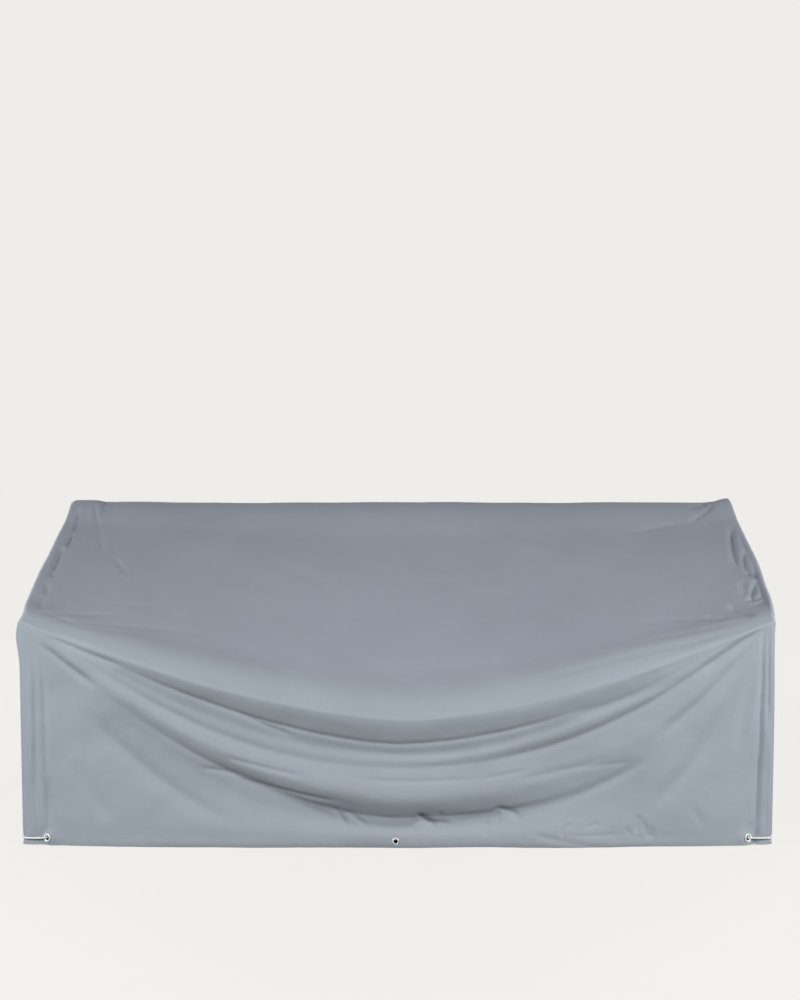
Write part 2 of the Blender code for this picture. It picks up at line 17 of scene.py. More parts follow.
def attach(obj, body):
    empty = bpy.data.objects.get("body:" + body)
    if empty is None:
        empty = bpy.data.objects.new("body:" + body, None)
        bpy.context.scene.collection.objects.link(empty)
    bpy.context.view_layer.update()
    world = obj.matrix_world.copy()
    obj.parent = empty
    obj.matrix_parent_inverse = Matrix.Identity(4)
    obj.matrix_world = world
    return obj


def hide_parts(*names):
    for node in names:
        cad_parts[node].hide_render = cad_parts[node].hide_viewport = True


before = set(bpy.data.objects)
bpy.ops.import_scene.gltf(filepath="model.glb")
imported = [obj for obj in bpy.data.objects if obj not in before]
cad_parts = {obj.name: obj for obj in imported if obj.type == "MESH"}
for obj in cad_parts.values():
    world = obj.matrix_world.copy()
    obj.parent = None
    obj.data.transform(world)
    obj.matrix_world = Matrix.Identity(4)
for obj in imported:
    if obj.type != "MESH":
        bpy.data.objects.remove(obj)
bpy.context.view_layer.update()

bl_info = {
    "name": "Patio Furniture Cover",
    "version": (1, 0, 0),
    "blender": (4, 5, 0),
    "location": "View3D > Sidebar > Cover",
    "description": "Builds a draped furniture cover with its hem, eyelets and corner cords",
    "category": "Add Mesh",
}

# ---------------------------------------------------------------- sizes shared with the solids
WIDTH = 2.10  # over both side panels
DEPTH = 0.85  # between the front and the back at the arms
BACK_HEIGHT = 0.88
ARM_HEIGHT = 0.645  # where the slope of the sides would meet the front
SIDE_ROLL = 0.012  # radius at which the cloth rounds over into a side panel
BACK_ROLL = 0.018  # the same along the top of the back
ARM_ROLL = 0.035  # the same over the front of an arm
CORNER_RISE = 0.005  # how far the cords draw the hem up at the lower corners
RISE_POWER = 9  # how quickly that dies away along the hem
EYELET_FLANGE = 0.0135
EYELET_HEIGHT = 0.0232
MIDDLE_EYELET_X = -0.005
MIDDLE_EYELET_HEIGHT = 0.0175
CORNER_TO_EYELET = 0.069  # along the hem, from a lower corner to its eyelets
CORD_RADIUS = 0.00275

HALF = WIDTH / 2
EDGE_X = HALF - SIDE_ROLL
FRONT_Y = -DEPTH / 2
BACK_Y = DEPTH / 2
SIDE_SLOPE = math.atan2(BACK_HEIGHT - ARM_HEIGHT, DEPTH)
ARM_CENTRE_Z = ARM_HEIGHT + math.tan(SIDE_SLOPE) * ARM_ROLL - ARM_ROLL / math.cos(SIDE_SLOPE)
LIP_TURN = (math.pi / 2 - SIDE_SLOPE) / 2
LIP_END = -ARM_ROLL * (1 - math.cos(LIP_TURN))
LIP_END_Z = ARM_CENTRE_Z + ARM_ROLL * math.sin(LIP_TURN)

# ---------------------------------------------------------------- folds of the front
# Each fold line runs from the left arm to the right one. z_left, z_low and z_right are its
# heights, x_low is where it is lowest, and the powers say how squarely it hangs. The outs are how
# far it stands in front of the arms' front, at -STATION_X, 0, STATION_X and where the panel rounds
# over into the sides.
Fold = namedtuple(
    "Fold",
    "name x_low z_left z_low z_right power_left power_right out_left out_mid out_right out_end",
)
STATION_X = 0.52
FOLD_GAP = 0.004  # each fold line keeps at least this far below the one above it
FOLD_BLEND = 0.006  # how softly that sets in
FOLDS = [
    Fold("hem edge", 0.0, CORNER_RISE, 0.0, CORNER_RISE, 9, 9, 0.0152, 0.0172, 0.0152, 0.0),
    Fold("hem turn", 0.0, 0.008, 0.003, 0.008, 9, 9, 0.0160, 0.0180, 0.0160, 0.0),
    Fold("hem top", 0.0, 0.040, 0.032, 0.040, 9, 9, 0.0150, 0.0170, 0.0150, 0.0),
    Fold("under trough", 0.0, 0.630, 0.056, 0.580, 2.02, 2.78, -0.010, 0.007, -0.002, 0.0),
    Fold("under shade", 0.0, 0.616, 0.082, 0.607, 1.80, 2.72, -0.004, 0.012, -0.001, 0.0),
    Fold("low ridge", 0.0, 0.632, 0.141, 0.650, 1.74, 2.61, 0.009, 0.037, 0.004, 0.0),
    Fold("mid trough", 0.0, 0.669, 0.227, 0.666, 2.12, 2.28, 0.000, 0.016, 0.001, 0.0),
    Fold("mid ridge", 0.0, 0.667, 0.249, 0.677, 2.02, 2.02, 0.000, 0.0115, 0.009, 0.0),
    Fold("deep trough", 0.08, 0.666, 0.258, 0.662, 2.12, 1.65, -0.001, 0.006, 0.007, 0.0),
    Fold("deep shade", 0.0, 0.648, 0.291, 0.668, 1.65, 1.88, 0.007, 0.013, 0.011, 0.0),
    Fold("lip", 0.034, LIP_END_Z, 0.365, LIP_END_Z, 1.65, 1.64, 0.024, 0.032, 0.022, LIP_END),
]
HEM_TOP, LIP = 2, 10

# How sharply the cloth turns along a fold line, at its left, middle and right: 0 is round.
Turn = namedtuple("Turn", "fold left middle right")
TURNS = [
    Turn(4, 0.2, 0.3, 0.0),
    Turn(10, 0.5, 0.5, 0.3),
]
# How steeply the cords turn the cloth round the corner eyelets, and over what distances.
EYELET_TURN = 0.55
TURN_REACH = 0.022
TURN_HEIGHT = 0.026
# Where the slope begins in the middle, behind the lip and above it, and how it goes on.
BROW_BACK = 0.030
BROW_RISE = 0.036
SLOPE_SHARES = [0.14, 0.34, 0.56, 0.78]  # the places of its knots, as shares of its length
SLOPE_BULGE = 0.008  # how far it stands out halfway, in the middle
BACK_ROLL_STEPS = 3
# The back's corners stand up a little: from how far out, over what width and by how much.
Ear = namedtuple("Ear", "start width rise")
LEFT_EAR = Ear(0.895, 0.080, 0.008)
RIGHT_EAR = Ear(0.955, 0.085, 0.013)

# Where a side's edges stand away from the upright plane.
Bulge = namedtuple("Bulge", "side y z half_y half_z out")
BULGES = [
    Bulge(-1, 0.400, 0.875, 0.360, 0.160, -0.022),
    Bulge(-1, 0.020, 0.770, 0.120, 0.060, -0.004),
    Bulge(-1, -0.405, 0.590, 0.035, 0.045, 0.009),
    Bulge(-1, -0.390, 0.655, 0.050, 0.018, -0.006),
    Bulge(1, -0.060, 0.740, 0.220, 0.110, 0.0155),
    Bulge(1, 0.200, 0.815, 0.160, 0.080, 0.005),
    Bulge(1, -0.290, 0.680, 0.090, 0.050, 0.0065),
    Bulge(1, -0.410, 0.580, 0.040, 0.120, -0.003),
]
BULGE_REACH = 0.14  # how far in from the sides the bulges shift the front and the back panel
BACK_HEM_BULGE = 0.022  # how far the back's hem stands out

# ---------------------------------------------------------------- creases
# A crease runs from (a0, b0) to (a1, b1) of a panel: x and z on the front and the back, x and y on
# the slope, y and z on a side. bow is how far its middle stands off the straight line, depth is
# outwards, width is its half width, and pinch goes from 0, soft, to 1, sharp.
Crease = namedtuple("Crease", "a0 b0 a1 b1 bow depth width pinch")
CREASES = {
    "front": [
        # from the left arm's corner down the front
        (-0.982, 0.604, -0.749, 0.505, 0.004, -0.0060, 0.010, 0.3),
        (-1.001, 0.582, -0.830, 0.444, 0.002, -0.0080, 0.011, 0.4),
        (-0.890, 0.404, -0.430, 0.051, 0.034, -0.0080, 0.025, 0.3),
        (-0.901, 0.250, -0.786, 0.066, 0.011, -0.0040, 0.026, 0.0),
        (-0.984, 0.560, -0.976, 0.025, 0.000, -0.0045, 0.008, 0.4),
        (-0.974, 0.210, -0.973, 0.030, 0.000, -0.0045, 0.008, 0.4),
        (-1.008, 0.580, -1.010, -0.040, 0.000, -0.0030, 0.008, 0.2),
        (-1.016, 0.544, -1.023, 0.148, 0.000, 0.0040, 0.012, 0.0),
        (-0.968, 0.573, -0.849, 0.150, -0.019, -0.0030, 0.022, 0.0),
        # from the right arm's corner down the front
        (1.019, 0.680, 0.999, -0.100, 0.000, -0.0100, 0.008, 0.5),
        (1.032, 0.640, 1.031, 0.300, 0.000, -0.0050, 0.006, 0.4),
        (1.023, 0.626, 0.838, 0.489, -0.001, -0.0080, 0.011, 0.4),
        (1.023, 0.621, 0.701, 0.292, -0.019, -0.0080, 0.019, 0.2),
        (0.982, 0.531, 0.675, 0.080, -0.037, -0.0095, 0.025, 0.2),
        (1.012, 0.573, 0.949, 0.235, 0.011, -0.0040, 0.018, 0.0),
        (0.990, 0.609, 0.623, 0.462, -0.001, -0.0025, 0.008, 0.3),
        (0.452, 0.367, 0.812, 0.494, 0.013, -0.0040, 0.014, 0.0),
        # small folds low on the front
        (-0.456, 0.386, -0.274, 0.310, 0.005, -0.0040, 0.008, 0.6),
        (-0.184, 0.117, -0.137, 0.045, -0.003, -0.0040, 0.009, 0.4),
        (-0.150, 0.104, -0.080, 0.055, 0.000, -0.0040, 0.008, 0.4),
        (0.050, 0.100, 0.122, 0.040, 0.002, -0.0090, 0.011, 0.4),
        (0.122, 0.110, 0.116, 0.040, 0.000, -0.0030, 0.009, 0.3),
        (0.030, 0.072, 0.160, 0.062, 0.000, -0.0055, 0.010, 0.3),
        (0.262, 0.110, 0.352, 0.070, -0.009, -0.0050, 0.010, 0.3),
        (0.256, 0.075, 0.241, 0.026, 0.001, -0.0030, 0.005, 0.0),
        (0.285, 0.101, 0.274, 0.047, -0.002, -0.0040, 0.006, 0.3),
        (0.489, 0.068, 0.456, 0.024, 0.007, -0.0030, 0.006, 0.3),
        (0.515, 0.053, 0.571, 0.068, 0.000, -0.0020, 0.006, 0.0),
        (0.678, 0.094, 0.671, 0.034, 0.004, -0.0040, 0.007, 0.4),
        (0.682, 0.079, 0.704, 0.016, -0.001, -0.0040, 0.006, 0.4),
        (0.704, 0.066, 0.708, 0.019, -0.002, -0.0030, 0.005, 0.0),
        (0.638, 0.058, 0.649, 0.032, 0.001, -0.0025, 0.005, 0.0),
        (0.816, 0.125, 0.860, 0.050, 0.002, -0.0020, 0.012, 0.0),
        (-0.556, 0.221, -0.437, 0.197, -0.003, -0.0040, 0.007, 0.6),
        (-0.133, 0.197, 0.256, 0.199, 0.007, -0.0030, 0.007, 0.5),
        (0.225, 0.194, 0.374, 0.222, 0.002, -0.0030, 0.007, 0.5),
        (0.441, 0.215, 0.682, 0.242, -0.001, -0.0018, 0.007, 0.4),
        (-0.530, 0.240, -0.110, 0.062, 0.012, -0.0060, 0.020, 0.2),
        (-0.500, 0.262, -0.240, 0.200, 0.004, -0.0040, 0.008, 0.4),
        (-0.450, 0.192, -0.150, 0.128, 0.004, -0.0040, 0.008, 0.4),
        (0.360, 0.040, 0.590, -0.002, 0.004, -0.0020, 0.008, 0.3),
        (0.480, 0.030, 0.640, 0.037, 0.000, -0.0015, 0.006, 0.2),
        (0.300, 0.190, 0.600, 0.260, 0.010, -0.0030, 0.012, 0.2),
        # where the cords draw the lower corners in
        (-0.990, 0.022, -1.040, 0.022, 0.000, -0.0030, 0.007, 0.3),
        (-0.972, 0.060, -0.985, 0.036, 0.000, -0.0025, 0.007, 0.2),
        (0.990, 0.022, 1.040, 0.022, 0.000, -0.0030, 0.007, 0.3),
        (0.992, 0.070, 0.986, 0.036, 0.000, -0.0025, 0.007, 0.2),
    ],
    "slope": [
        # on the left
        (-1.015, 0.325, -1.000, 0.157, 0.000, -0.0070, 0.008, 0.4),
        (-0.999, 0.173, -1.005, 0.057, 0.000, -0.0070, 0.007, 0.4),
        (-1.017, 0.067, -1.008, -0.092, 0.000, -0.0080, 0.009, 0.4),
        (-1.013, -0.044, -1.010, -0.149, 0.000, -0.0070, 0.009, 0.4),
        (-1.009, -0.185, -1.002, -0.255, 0.000, -0.0040, 0.008, 0.2),
        (-1.003, -0.257, -1.009, -0.347, 0.000, -0.0030, 0.008, 0.2),
        (-0.935, 0.435, -0.920, 0.281, 0.000, -0.0050, 0.008, 0.3),
        (-0.970, 0.362, -0.919, 0.212, 0.000, -0.0040, 0.008, 0.3),
        (-0.925, 0.232, -0.881, 0.053, 0.000, -0.0025, 0.010, 0.2),
        (-0.855, 0.052, -0.790, -0.049, 0.000, -0.0030, 0.008, 0.3),
        (-1.001, -0.350, -0.892, -0.357, 0.006, -0.0030, 0.007, 0.3),
        (-1.027, -0.399, -0.771, -0.261, -0.024, -0.0025, 0.008, 0.3),
        (-1.005, -0.404, -0.482, -0.274, -0.035, -0.0018, 0.010, 0.2),
        (-0.949, -0.381, -0.649, -0.315, 0.002, -0.0016, 0.008, 0.2),
        (-0.890, -0.207, -0.652, -0.154, 0.025, -0.0012, 0.010, 0.0),
        # on the right
        (0.895, 0.332, 1.035, 0.418, 0.000, -0.0055, 0.006, 0.5),
        (0.880, 0.240, 1.018, 0.385, 0.008, -0.0050, 0.006, 0.5),
        (0.900, 0.262, 0.712, 0.210, 0.006, -0.0030, 0.010, 0.3),
        (1.025, 0.224, 0.991, -0.090, 0.010, -0.0100, 0.009, 0.5),
        (1.030, 0.160, 1.030, -0.080, 0.000, -0.0060, 0.006, 0.6),
        (1.030, -0.030, 1.030, -0.370, 0.000, -0.0070, 0.006, 0.6),
        (1.028, 0.040, 1.014, -0.140, 0.012, -0.0080, 0.007, 0.5),
        (1.004, -0.095, 1.032, -0.160, 0.000, -0.0080, 0.008, 0.4),
        (0.990, -0.145, 0.986, -0.245, 0.000, -0.0050, 0.011, 0.1),
        (1.026, -0.165, 0.990, -0.285, 0.000, -0.0080, 0.008, 0.4),
        (0.984, -0.262, 1.032, -0.280, 0.000, -0.0090, 0.008, 0.5),
        (0.990, -0.300, 1.034, -0.318, 0.000, -0.0070, 0.007, 0.4),
        (0.935, -0.255, 1.000, -0.385, 0.006, -0.0080, 0.009, 0.4),
        (0.868, -0.290, 0.925, -0.345, 0.000, -0.0040, 0.008, 0.2),
        (1.008, -0.399, 0.627, -0.351, 0.018, -0.0022, 0.008, 0.3),
        (1.027, -0.416, 0.337, -0.404, 0.014, -0.0030, 0.009, 0.5),
        (1.005, -0.381, 0.638, -0.246, 0.028, -0.0016, 0.009, 0.2),
        (-0.056, 0.032, 0.260, 0.004, -0.014, -0.0012, 0.009, 0.2),
        (-0.452, 0.106, -0.174, -0.026, -0.027, -0.0010, 0.016, 0.0),
        (0.319, 0.267, 0.730, 0.064, 0.012, -0.0010, 0.018, 0.0),
    ],
    "left": [
        (-0.330, 0.560, -0.345, 0.060, 0.010, 0.0121, 0.030, 0.0),
        (-0.270, 0.600, -0.070, 0.060, -0.030, -0.0135, 0.045, 0.2),
        (-0.080, 0.620, 0.120, 0.060, -0.020, 0.0121, 0.050, 0.0),
        (0.340, 0.720, 0.200, 0.060, 0.020, -0.0135, 0.045, 0.2),
        (-0.385, 0.600, -0.260, 0.340, 0.012, -0.0068, 0.014, 0.4),
        (-0.375, 0.550, -0.340, 0.120, 0.008, -0.0054, 0.012, 0.4),
        (-0.200, 0.660, 0.040, 0.420, 0.015, -0.0041, 0.016, 0.3),
        (0.400, 0.800, 0.330, 0.500, -0.010, -0.0054, 0.015, 0.3),
        (-0.350, 0.036, -0.400, 0.026, 0.000, -0.0030, 0.008, 0.3),
        (0.350, 0.036, 0.400, 0.026, 0.000, -0.0030, 0.008, 0.3),
        (0.080, 0.090, 0.100, 0.020, 0.003, -0.0030, 0.009, 0.3),
        (-0.180, 0.080, -0.170, 0.018, -0.002, -0.0025, 0.008, 0.3),
    ],
    "right": [
        (-0.350, 0.560, -0.340, 0.060, -0.010, 0.0108, 0.028, 0.0),
        (-0.270, 0.560, 0.020, 0.060, 0.030, -0.0149, 0.050, 0.2),
        (0.020, 0.640, 0.160, 0.060, -0.015, 0.0108, 0.045, 0.0),
        (0.350, 0.740, 0.280, 0.060, 0.010, -0.0121, 0.040, 0.2),
        (-0.385, 0.610, -0.220, 0.420, 0.010, -0.0068, 0.013, 0.4),
        (-0.370, 0.520, -0.320, 0.200, -0.010, -0.0054, 0.012, 0.4),
        (-0.060, 0.680, 0.130, 0.500, -0.012, -0.0041, 0.015, 0.3),
        (0.395, 0.790, 0.360, 0.420, 0.008, -0.0054, 0.014, 0.3),
        (-0.350, 0.036, -0.400, 0.026, 0.000, -0.0030, 0.008, 0.3),
        (0.350, 0.036, 0.400, 0.026, 0.000, -0.0030, 0.008, 0.3),
        (0.040, 0.085, 0.030, 0.018, 0.003, -0.0030, 0.009, 0.3),
    ],
    "back": [
        (-0.820, 0.780, -0.600, 0.060, 0.020, -0.0150, 0.060, 0.1),
        (-0.380, 0.740, -0.330, 0.060, -0.015, 0.0135, 0.070, 0.0),
        (0.060, 0.780, 0.000, 0.060, 0.010, -0.0150, 0.080, 0.1),
        (0.420, 0.720, 0.380, 0.060, 0.010, 0.0135, 0.070, 0.0),
        (0.840, 0.780, 0.670, 0.060, -0.020, -0.0150, 0.060, 0.1),
        (-0.980, 0.830, -0.860, 0.300, 0.020, -0.0067, 0.016, 0.4),
        (-0.560, 0.640, -0.500, 0.120, -0.015, -0.0060, 0.018, 0.3),
        (-0.140, 0.820, -0.190, 0.350, 0.012, -0.0053, 0.016, 0.4),
        (0.250, 0.700, 0.200, 0.140, -0.012, -0.0060, 0.018, 0.3),
        (0.620, 0.800, 0.560, 0.400, 0.010, -0.0053, 0.015, 0.4),
        (0.980, 0.830, 0.900, 0.260, -0.018, -0.0067, 0.016, 0.4),
        (-0.720, 0.110, -0.700, 0.020, 0.004, -0.0030, 0.010, 0.3),
        (0.140, 0.100, 0.160, 0.020, -0.004, -0.0030, 0.010, 0.3),
    ],
}
CREASE_END = 0.28  # the share of a crease's length over which it dies away at each end
PINCH_FALL = 1.7  # how fast a sharp crease's sides fall
PINCH_ROUND = 0.02  # how round its bottom is

# A line that sharpens a fold of the front: which one, from where to where, how far above its line.
Edge = namedtuple("Edge", "fold x0 x1 above depth width pinch")
EDGE_END = 0.2  # the share of its length over which an edge dies away at each end
EDGES = [
    Edge(4, -0.80, 0.58, 0.001, -0.0028, 0.011, 0.4),
    Edge(9, -0.84, 0.58, 0.001, -0.0045, 0.009, 0.5),
    Edge(6, 0.20, 0.98, 0.000, -0.0040, 0.012, 0.3),
    Edge(6, -0.92, 0.34, 0.000, -0.0030, 0.012, 0.3),
    Edge(4, 0.10, 0.74, -0.012, -0.0060, 0.017, 0.1),
]

# The cloth is never quite even: wavelengths and heights of that unevenness.
Wave = namedtuple("Wave", "length height")
FRONT_WAVES = [Wave(0.31, 0.0012), Wave(0.16, 0.0006), Wave(0.07, 0.00022), Wave(0.035, 0.00008)]
SLOPE_WAVES = [Wave(0.42, 0.0012), Wave(0.19, 0.0004), Wave(0.08, 0.00014), Wave(0.035, 0.00005)]
PANEL_WAVES = [Wave(0.33, 0.0020), Wave(0.15, 0.0007), Wave(0.07, 0.00022), Wave(0.035, 0.00008)]
FRONT_SEED, SLOPE_SEED, SIDE_SEED, BACK_SEED = 11, 12, 21, 31
WAVES_PER_LENGTH = 5
WAVE_SPREAD = (0.8, 1.3)  # how much the waves of one length differ in it

COLUMN = 0.0045  # the front panel's columns are this far apart
FALL_ROWS = 105  # from the hem's top to the lip
SLOPE_ROWS = 88  # from the lip to the back's top
SPAN_STEPS = 12  # points of the cross-section from one knot to the next
LAP = 0.004  # how far a panel's edge lies over its neighbour
HEM_PROUD = 0.0004  # how far the front hem stands out
HEM_TURN_ROWS = np.linspace(1, 0.03, 10)  # heights of the rows of a hem's turned strip, as shares
HEM_BEHIND = 0.0022  # how far behind the face the turned strip lies
HEM_FOLD_DROP = 0.0004  # how far the fold at its lower edge hangs below the face
PANEL_INSET = 0.001  # how far the covered panel lies inside the covering one
CORNER_DRAW = 0.0055  # how far the cord draws an upright corner in
CORD_BITE = 0.0025  # how far the cord sinks in there
DRAW_HEIGHT = 0.010  # the corner is drawn in over this height above and below the cord
DRAW_BACK = 0.10  # and up to this far behind the front
DRAW_BACK_FADE = 0.05

# Where the front's and the slope's creases die away.
FRONT_FADE = 0.025  # over this height below the lip
SLOPE_START = 0.004  # from this far behind the lip
SLOPE_FADE = 0.020  # over this length at both ends of the slope
UNEVEN_ABOVE = 0.020  # the front's unevenness reaches this far above the lip
UNEVEN_FADE = 0.060
SIDE_FADE = 0.006  # next to the side panels
TOP_FADE = 0.012  # next to the back panel

# How a panel rolls over its side edge and laps on to its neighbour: how far each further column
# lies behind the face and past its edge. The last three are the lap, whose end sinks in a little.
ROLL_ANGLES = [math.radians(degrees) for degrees in (20, 40, 60, 78, 90)]
ROLL_STEPS = [(SIDE_ROLL * (1 - math.cos(a)), SIDE_ROLL * math.sin(a)) for a in ROLL_ANGLES]
ROLL_STEPS += [
    (SIDE_ROLL + LAP * 0.6, SIDE_ROLL),
    (SIDE_ROLL + LAP, SIDE_ROLL - 0.0002),
    (SIDE_ROLL + LAP, SIDE_ROLL - 0.0014),
]


# ---------------------------------------------------------------- shape
def smooth(share):
    """An even blend from 0 to 1."""
    share = np.clip(share, 0.0, 1.0)
    return share * share * (3 - 2 * share)


def crease_shape(across, width, pinch):
    """A crease's cross-section, 1 at its middle."""
    u = across / width
    soft = np.exp(-(u**2))
    sharp = np.exp(-PINCH_FALL * (np.sqrt(u * u + PINCH_ROUND) - math.sqrt(PINCH_ROUND)))
    return soft * (1 - pinch) + sharp * pinch


def crease_push(panel, a, b):
    """How far the creases push a panel's points outwards."""
    push = np.zeros_like(a)
    for row in CREASES[panel]:
        c = Crease(*row)
        run_a, run_b = c.a1 - c.a0, c.b1 - c.b0
        length = math.hypot(run_a, run_b)
        along = ((a - c.a0) * run_a + (b - c.b0) * run_b) / length**2
        across = ((a - c.a0) * run_b - (b - c.b0) * run_a) / length
        across = across - c.bow * 4 * along * (1 - along)
        fade = smooth(along / CREASE_END) * smooth((1 - along) / CREASE_END)
        push += c.depth * fade * crease_shape(across, c.width, c.pinch)
    return push


def uneven(a, b, seed, waves):
    """Low, broad unevenness over a panel."""
    rng = np.random.default_rng(seed)
    total = np.zeros_like(a)
    for wave in waves:
        for _ in range(WAVES_PER_LENGTH):
            turn, phase = rng.uniform(0, 2 * math.pi, 2)
            size = 2 * math.pi / (wave.length * rng.uniform(*WAVE_SPREAD))
            total += wave.height * 0.5 * np.sin(size * (a * math.cos(turn) + b * math.sin(turn)) + phase)
    return total


def fold_heights(x):
    """The fold lines' heights at each x, from the hem up."""
    heights = []
    for fold in FOLDS:
        left = np.clip((fold.x_low - x) / (fold.x_low + EDGE_X), 0, 1)
        right = np.clip((x - fold.x_low) / (EDGE_X - fold.x_low), 0, 1)
        rise_left = (fold.z_left - fold.z_low) * left**fold.power_left
        rise_right = (fold.z_right - fold.z_low) * right**fold.power_right
        heights.append(fold.z_low + rise_left + rise_right)
    for k in range(LIP - 1, HEM_TOP, -1):
        ceiling = heights[k + 1] - FOLD_GAP
        below = ceiling - heights[k]
        heights[k] = ceiling - (below + np.sqrt(below**2 + FOLD_BLEND**2)) / 2
    return heights


def fold_out(fold, x):
    """How far a fold line stands in front of the arms' front at each x."""
    station = np.where(x < 0, fold.out_left, fold.out_right)
    reach = np.abs(x)
    near = fold.out_mid + (station - fold.out_mid) * smooth(reach / STATION_X)
    share = smooth((reach - STATION_X) / (EDGE_X - STATION_X))
    return np.where(reach < STATION_X, near, station + (fold.out_end - station) * share)


def section_knots(x):
    """The points that the front panel's cross-section passes through at each x, (y, z) each."""
    knots = [(FRONT_Y - fold_out(fold, x), z) for fold, z in zip(FOLDS, fold_heights(x))]
    lip_y, lip_z = knots[-1]
    arm = smooth((np.abs(x) - STATION_X) / (EDGE_X - STATION_X))
    turn = math.pi / 2 - SIDE_SLOPE
    arm_back = ARM_ROLL * (1 - math.cos(turn)) + LIP_END
    arm_rise = ARM_CENTRE_Z + ARM_ROLL * math.sin(turn) - LIP_END_Z
    brow_y = lip_y + BROW_BACK + (arm_back - BROW_BACK) * arm
    brow_z = lip_z + BROW_RISE + (arm_rise - BROW_RISE) * arm
    knots.append((brow_y, brow_z))
    ear = np.where(
        x < 0,
        LEFT_EAR.rise * smooth((-x - LEFT_EAR.start) / LEFT_EAR.width),
        RIGHT_EAR.rise * smooth((x - RIGHT_EAR.start) / RIGHT_EAR.width),
    )
    centre_y, centre_z = BACK_Y - BACK_ROLL, BACK_HEIGHT - BACK_ROLL + ear
    slope = np.arctan2(centre_z + BACK_ROLL - brow_z, centre_y - brow_y)
    top_y = centre_y - BACK_ROLL * np.sin(slope)
    top_z = centre_z + BACK_ROLL * np.cos(slope)
    for share in SLOPE_SHARES:
        z = brow_z + (top_z - brow_z) * share + SLOPE_BULGE * (1 - arm) * 4 * share * (1 - share)
        knots.append((brow_y + (top_y - brow_y) * share, z))
    for step in range(BACK_ROLL_STEPS + 1):
        angle = (math.pi / 2 + slope) * (1 - step / BACK_ROLL_STEPS)
        z = centre_z - ear * step / BACK_ROLL_STEPS + BACK_ROLL * np.sin(angle)
        knots.append((centre_y + BACK_ROLL * np.cos(angle), z))
    return np.array([[y + 0 * x, z + 0 * x] for y, z in knots]).transpose(2, 0, 1)


def section_turns(x, knots):
    """How sharply the cross-section turns at each of its knots at each x."""
    turns = np.zeros((len(x), knots))
    for turn in TURNS:
        ends = np.where(x < 0, turn.left, turn.right)
        turns[:, turn.fold] = turn.middle + (ends - turn.middle) * smooth(np.abs(x) / STATION_X)
    fade = smooth((EDGE_X - np.abs(x)) / (EDGE_X - STATION_X))
    return turns * fade[:, None]


def unit(vectors):
    """Vectors made 1 long."""
    return vectors / np.maximum(np.linalg.norm(vectors, axis=-1, keepdims=True), 1e-12)


def smooth_curve(knots, steps, turns=None):
    """Points along the curves through knots, of shape (curves, knots, n), which turn at each knot
    as sharply as turns say."""
    spans = knots[:, 1:] - knots[:, :-1]
    lengths = np.linalg.norm(spans, axis=-1, keepdims=True)
    ways = spans / lengths
    inner = (ways[:, 1:] * lengths[:, :-1] + ways[:, :-1] * lengths[:, 1:]) / (
        lengths[:, :-1] + lengths[:, 1:]
    )
    slopes = np.concatenate([ways[:, :1], inner, ways[:, -1:]], axis=1)
    turns = np.zeros(knots.shape[:2]) if turns is None else turns
    leave = slopes[:, :-1] + (ways - slopes[:, :-1]) * turns[:, :-1, None]
    arrive = slopes[:, 1:] + (ways - slopes[:, 1:]) * turns[:, 1:, None]
    t = (np.arange(steps) / steps)[None, None, :, None]
    start, end = knots[:, :-1, None], knots[:, 1:, None]
    size = lengths[:, :, None]
    curve = (
        start * (2 * t**3 - 3 * t**2 + 1)
        + leave[:, :, None] * size * (t**3 - 2 * t**2 + t)
        + end * (3 * t**2 - 2 * t**3)
        + arrive[:, :, None] * size * (t**3 - t**2)
    )
    flat = curve.reshape(len(knots), -1, knots.shape[-1])
    return np.concatenate([flat, knots[:, -1:]], axis=1)


def run_along(line):
    """The distance of each point of a line from its first one, along it."""
    return np.concatenate([[0], np.cumsum(np.linalg.norm(np.diff(line, axis=0), axis=1))])


def points_at(line, run, at):
    """The points of a line at these distances along it."""
    return np.stack([np.interp(at, run, column) for column in line.T], axis=-1)


def resample(curves, shares):
    """Each curve again, with points at these shares of its length."""
    runs = [run_along(curve) for curve in curves]
    return np.array([points_at(curve, run, shares * run[-1]) for curve, run in zip(curves, runs)])


def normals_of(points):
    """Outward unit normals of a grid of points, (columns, rows, 3)."""
    across = np.gradient(points, axis=0)
    along = np.gradient(points, axis=1)
    return unit(np.cross(across, along))


def side_out(side, y, z):
    """How far a side stands outside its upright plane."""
    out = 0.0
    for bulge in BULGES:
        if bulge.side == side:
            spread = ((y - bulge.y) / bulge.half_y) ** 2 + ((z - bulge.z) / bulge.half_z) ** 2
            out = out + bulge.out * np.exp(-spread)
    return out


def edge_shift(x, y, z):
    """How far the sides' bulges carry a front or back panel's points along."""
    share = smooth((np.abs(x) - EDGE_X + BULGE_REACH) / BULGE_REACH)
    return share * np.where(x < 0, -side_out(-1, y, z), side_out(1, y, z))


def corner_draw(z):
    """How far the cord draws an upright corner in at each height."""
    return CORNER_DRAW * np.exp(-(((z - EYELET_HEIGHT) / DRAW_HEIGHT) ** 2))


def eyelet_turn(half, along, z):
    """How far the cloth round a corner eyelet stands out where the cord turns it to the corner:
    half is the panel's half length and along the way along it, from its middle."""
    away = half - CORNER_TO_EYELET - np.abs(along)
    spread = (away / TURN_REACH) ** 2 + ((z - EYELET_HEIGHT) / TURN_HEIGHT) ** 2
    return EYELET_TURN * away * np.exp(-spread)


